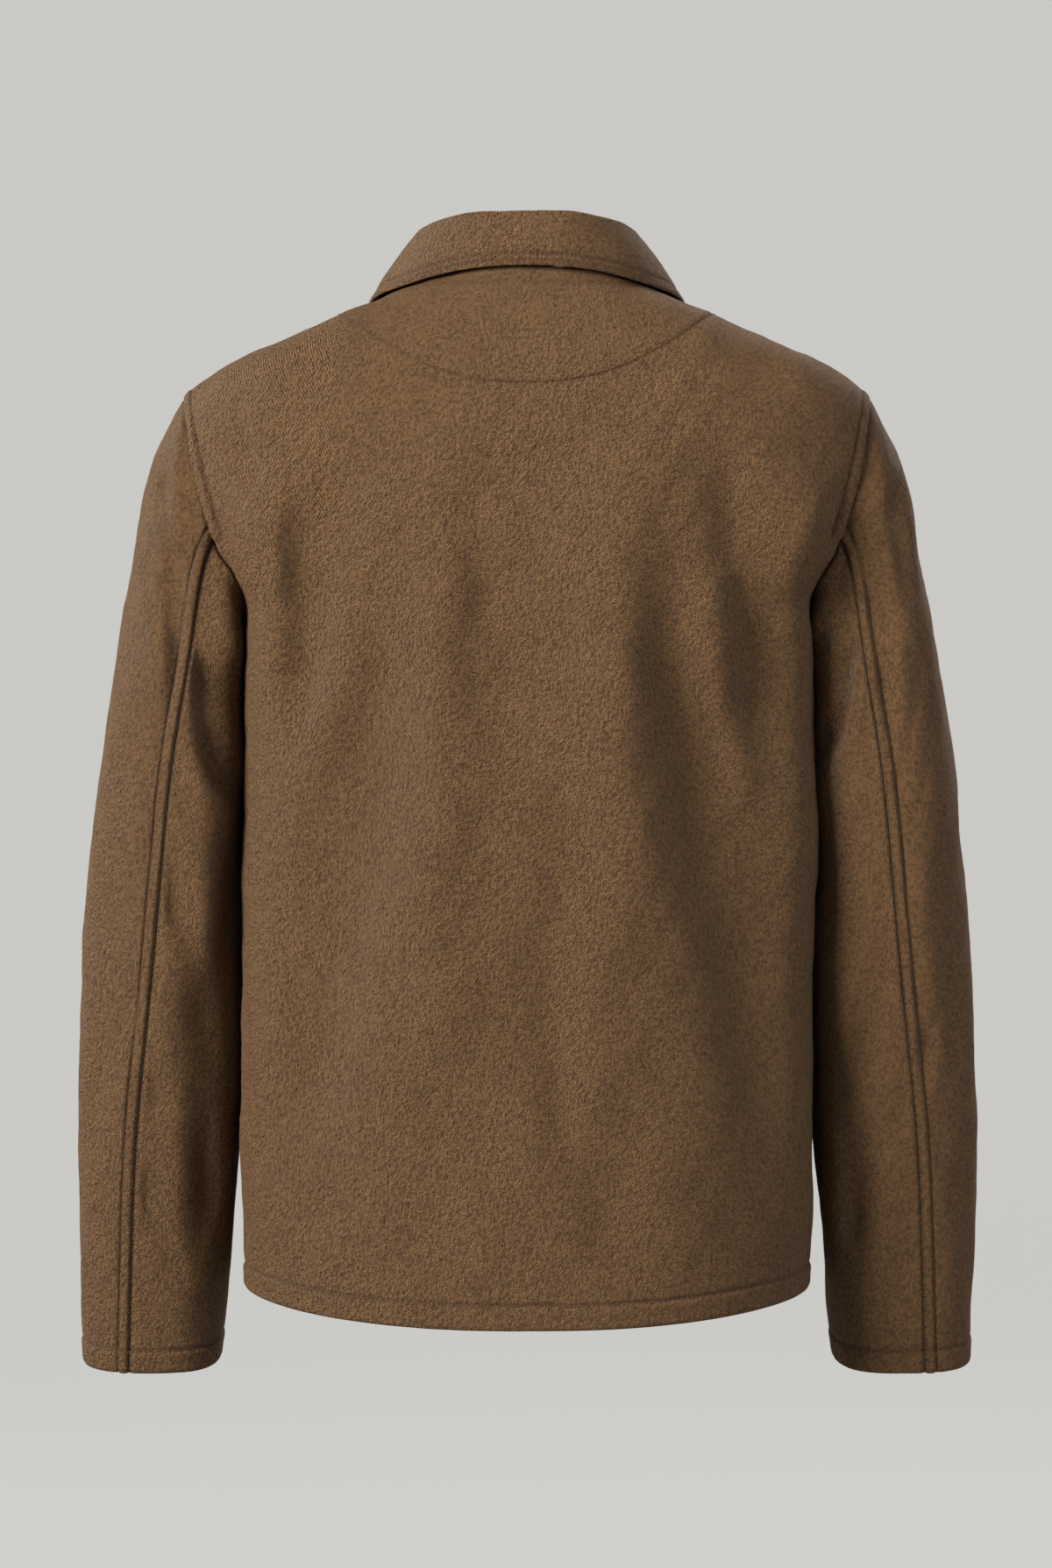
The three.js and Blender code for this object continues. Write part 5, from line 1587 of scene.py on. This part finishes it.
class JACKET_OT_make_sleeves(bpy.types.Operator):
    """Makes the top and under pieces of both sleeves"""

    bl_idname = "jacket.make_sleeves"
    bl_label = "Sleeves"

    def execute(self, context):
        shape, wool = context.scene.jacket_shape, materials()["wool"]
        FACES["sleeves"] = [
            make_sleeve_piece(shape, wool, is_left, is_top)
            for is_left in (True, False)
            for is_top in (True, False)
        ]
        return {"FINISHED"}


class JACKET_OT_make_collar(bpy.types.Operator):
    """Makes the collar's stand and its fall"""

    bl_idname = "jacket.make_collar"
    bl_label = "Collar"

    def execute(self, context):
        FACES["collar"] = [make_collar(context.scene.jacket_shape, materials()["wool"])]
        return {"FINISHED"}


class JACKET_OT_make_stitches(bpy.types.Operator):
    """Sews the rows of stitches along the welts, hems and edges"""

    bl_idname = "jacket.make_stitches"
    bl_label = "Stitches"

    def execute(self, context):
        make_stitches(context.scene.jacket_shape, materials()["thread"])
        return {"FINISHED"}


class JACKET_OT_make_buttons(bpy.types.Operator):
    """Makes the buttons with their thread, and the sewn buttonholes"""

    bl_idname = "jacket.make_buttons"
    bl_label = "Buttons"

    def execute(self, context):
        found = materials()
        for number in range(1, BUTTON_COUNT + 1):
            place, normal, up = make_button(number, found["horn"], found["thread"])
            make_buttonhole(number, place, normal, up, found["thread"])
        return {"FINISHED"}


class JACKET_OT_make_nap(bpy.types.Operator):
    """Stands loose fibres off the wool"""

    bl_idname = "jacket.make_nap"
    bl_label = "Loose nap"

    def execute(self, context):
        shape, fibre = context.scene.jacket_shape, materials()["fibre"]
        count = shape.fibre_count
        make_nap(shape, fibre, "nap_body", FACES["body"], int(count * 0.5), 71)
        make_nap(shape, fibre, "nap_sleeves", FACES["sleeves"], int(count * 0.4), 73)
        make_nap(shape, fibre, "nap_collar", FACES["collar"], int(count * 0.1), 79)
        return {"FINISHED"}


class JACKET_OT_make_stage(bpy.types.Operator):
    """Sets up the plain floor and wall, the soft lights and the camera"""

    bl_idname = "jacket.make_stage"
    bl_label = "Studio stage"

    def execute(self, context):
        make_stage(context.scene)
        return {"FINISHED"}


def make_stage(scene):
    stage = scene.jacket_stage
    backdrop = bpy.data.materials.new("Pale backdrop")
    backdrop.use_nodes = True
    shader = backdrop.node_tree.nodes["Principled BSDF"]
    shader.inputs["Base Color"].default_value = (*(0.08 * c for c in stage.backdrop), 1.0)
    shader.inputs["Emission Color"].default_value = (*stage.backdrop, 1.0)
    shader.inputs["Emission Strength"].default_value = 0.965
    shader.inputs["Roughness"].default_value = 0.95
    shader.inputs["Specular IOR Level"].default_value = 0.0
    bend_x = WALL_RADIUS - WALL_BEND
    profile = [(0.02, FLOOR_Z), (1.5, FLOOR_Z), (bend_x, FLOOR_Z)]
    for a in np.radians(np.linspace(10.0, 90.0, 9)):
        rise = WALL_BEND * (1.0 - math.cos(a))
        profile.append((bend_x + WALL_BEND * math.sin(a), FLOOR_Z + rise))
    profile.append((WALL_RADIUS, WALL_TOP_Z))
    turns = np.radians(np.arange(0, 360, 5))
    places = [(r * math.cos(t), r * math.sin(t), z) for t in turns for r, z in profile]
    count = len(profile)
    faces = []
    for j in range(len(turns)):
        first, following = j * count, ((j + 1) % len(turns)) * count
        for k in range(count - 1):
            faces.append((first + k, following + k, following + k + 1, first + k + 1))
    sweep = new_piece("sweep", np.array(places), np.array(faces), backdrop)
    sweep.visible_diffuse = sweep.visible_glossy = sweep.visible_shadow = False

    def area(name, place, target, width, height, power, tint=(1.0, 1.0, 1.0)):
        light = bpy.data.lights.new(name, "AREA")
        light.shape, light.size, light.size_y = "RECTANGLE", width, height
        light.energy, light.color = power, tint
        lamp = bpy.data.objects.new(name, light)
        lamp.location = place
        way = Vector(target) - Vector(place)
        lamp.rotation_euler = way.to_track_quat("-Z", "Y").to_euler()
        scene.collection.objects.link(lamp)

    middle = (0.0, 0.0, -0.33)
    area("key", (2.15, 1.62, 0.9), middle, 1.5, 1.5, stage.key, (1.0, 0.985, 0.96))
    area("fill", (-2.0, 1.6, -0.1), middle, 1.6, 1.8, stage.fill, (0.95, 0.975, 1.0))
    area("front", (-1.3, -2.1, 1.2), middle, 1.2, 1.4, stage.front)
    area("front_fill", (1.7, -1.9, 0.0), middle, 1.4, 1.6, stage.front * 0.25)
    world = bpy.data.worlds.new("Studio")
    world.use_nodes = True
    ground = world.node_tree.nodes["Background"]
    ground.inputs["Color"].default_value = (0.8, 0.81, 0.82, 1.0)
    ground.inputs["Strength"].default_value = 0.4
    scene.world = world
    scene.view_settings.view_transform = "Standard"

    camera = bpy.data.cameras.new("camera")
    camera.sensor_fit = "VERTICAL"
    camera.sensor_height = 36.0
    camera.lens = stage.lens
    camera.clip_end = 50.0
    eye = bpy.data.objects.new("camera", camera)
    eye.location = (0.0006, stage.distance, stage.eye_height)
    eye.rotation_euler = (math.radians(90.0), 0.0, math.radians(180.0))
    scene.collection.objects.link(eye)
    scene.camera = eye


class JACKET_PT_builder(bpy.types.Panel):
    """Lists the jacket's pieces in the order in which they are made"""

    bl_idname = "JACKET_PT_builder"
    bl_label = "Shirt jacket"
    bl_space_type = "VIEW_3D"
    bl_region_type = "UI"
    bl_category = "Jacket"

    def draw(self, context):
        for operator in OPERATORS:
            self.layout.operator(operator.bl_idname)
        for name in ("jacket_shape", "jacket_colours", "jacket_stage"):
            group = getattr(context.scene, name)
            box = self.layout.box()
            for key in group.bl_rna.properties.keys():
                if key not in ("rna_type", "name"):
                    box.prop(group, key)


OPERATORS = (
    JACKET_OT_make_body,
    JACKET_OT_make_sleeves,
    JACKET_OT_make_collar,
    JACKET_OT_make_stitches,
    JACKET_OT_make_buttons,
    JACKET_OT_make_nap,
    JACKET_OT_make_stage,
)
CLASSES = (JacketShape, JacketColours, JacketStage, *OPERATORS, JACKET_PT_builder)


def register():
    for item in CLASSES:
        bpy.utils.register_class(item)
    bpy.types.Scene.jacket_shape = bpy.props.PointerProperty(type=JacketShape)
    bpy.types.Scene.jacket_colours = bpy.props.PointerProperty(type=JacketColours)
    bpy.types.Scene.jacket_stage = bpy.props.PointerProperty(type=JacketStage)


def unregister():
    del bpy.types.Scene.jacket_stage
    del bpy.types.Scene.jacket_colours
    del bpy.types.Scene.jacket_shape
    for item in reversed(CLASSES):
        bpy.utils.unregister_class(item)


def main():
    register()
    bpy.ops.jacket.make_body()
    bpy.ops.jacket.make_sleeves()
    bpy.ops.jacket.make_collar()
    bpy.ops.jacket.make_stitches()
    bpy.ops.jacket.make_buttons()
    bpy.ops.jacket.make_nap()
    bpy.ops.jacket.make_stage()
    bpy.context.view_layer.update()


if __name__ == "__main__":
    main()
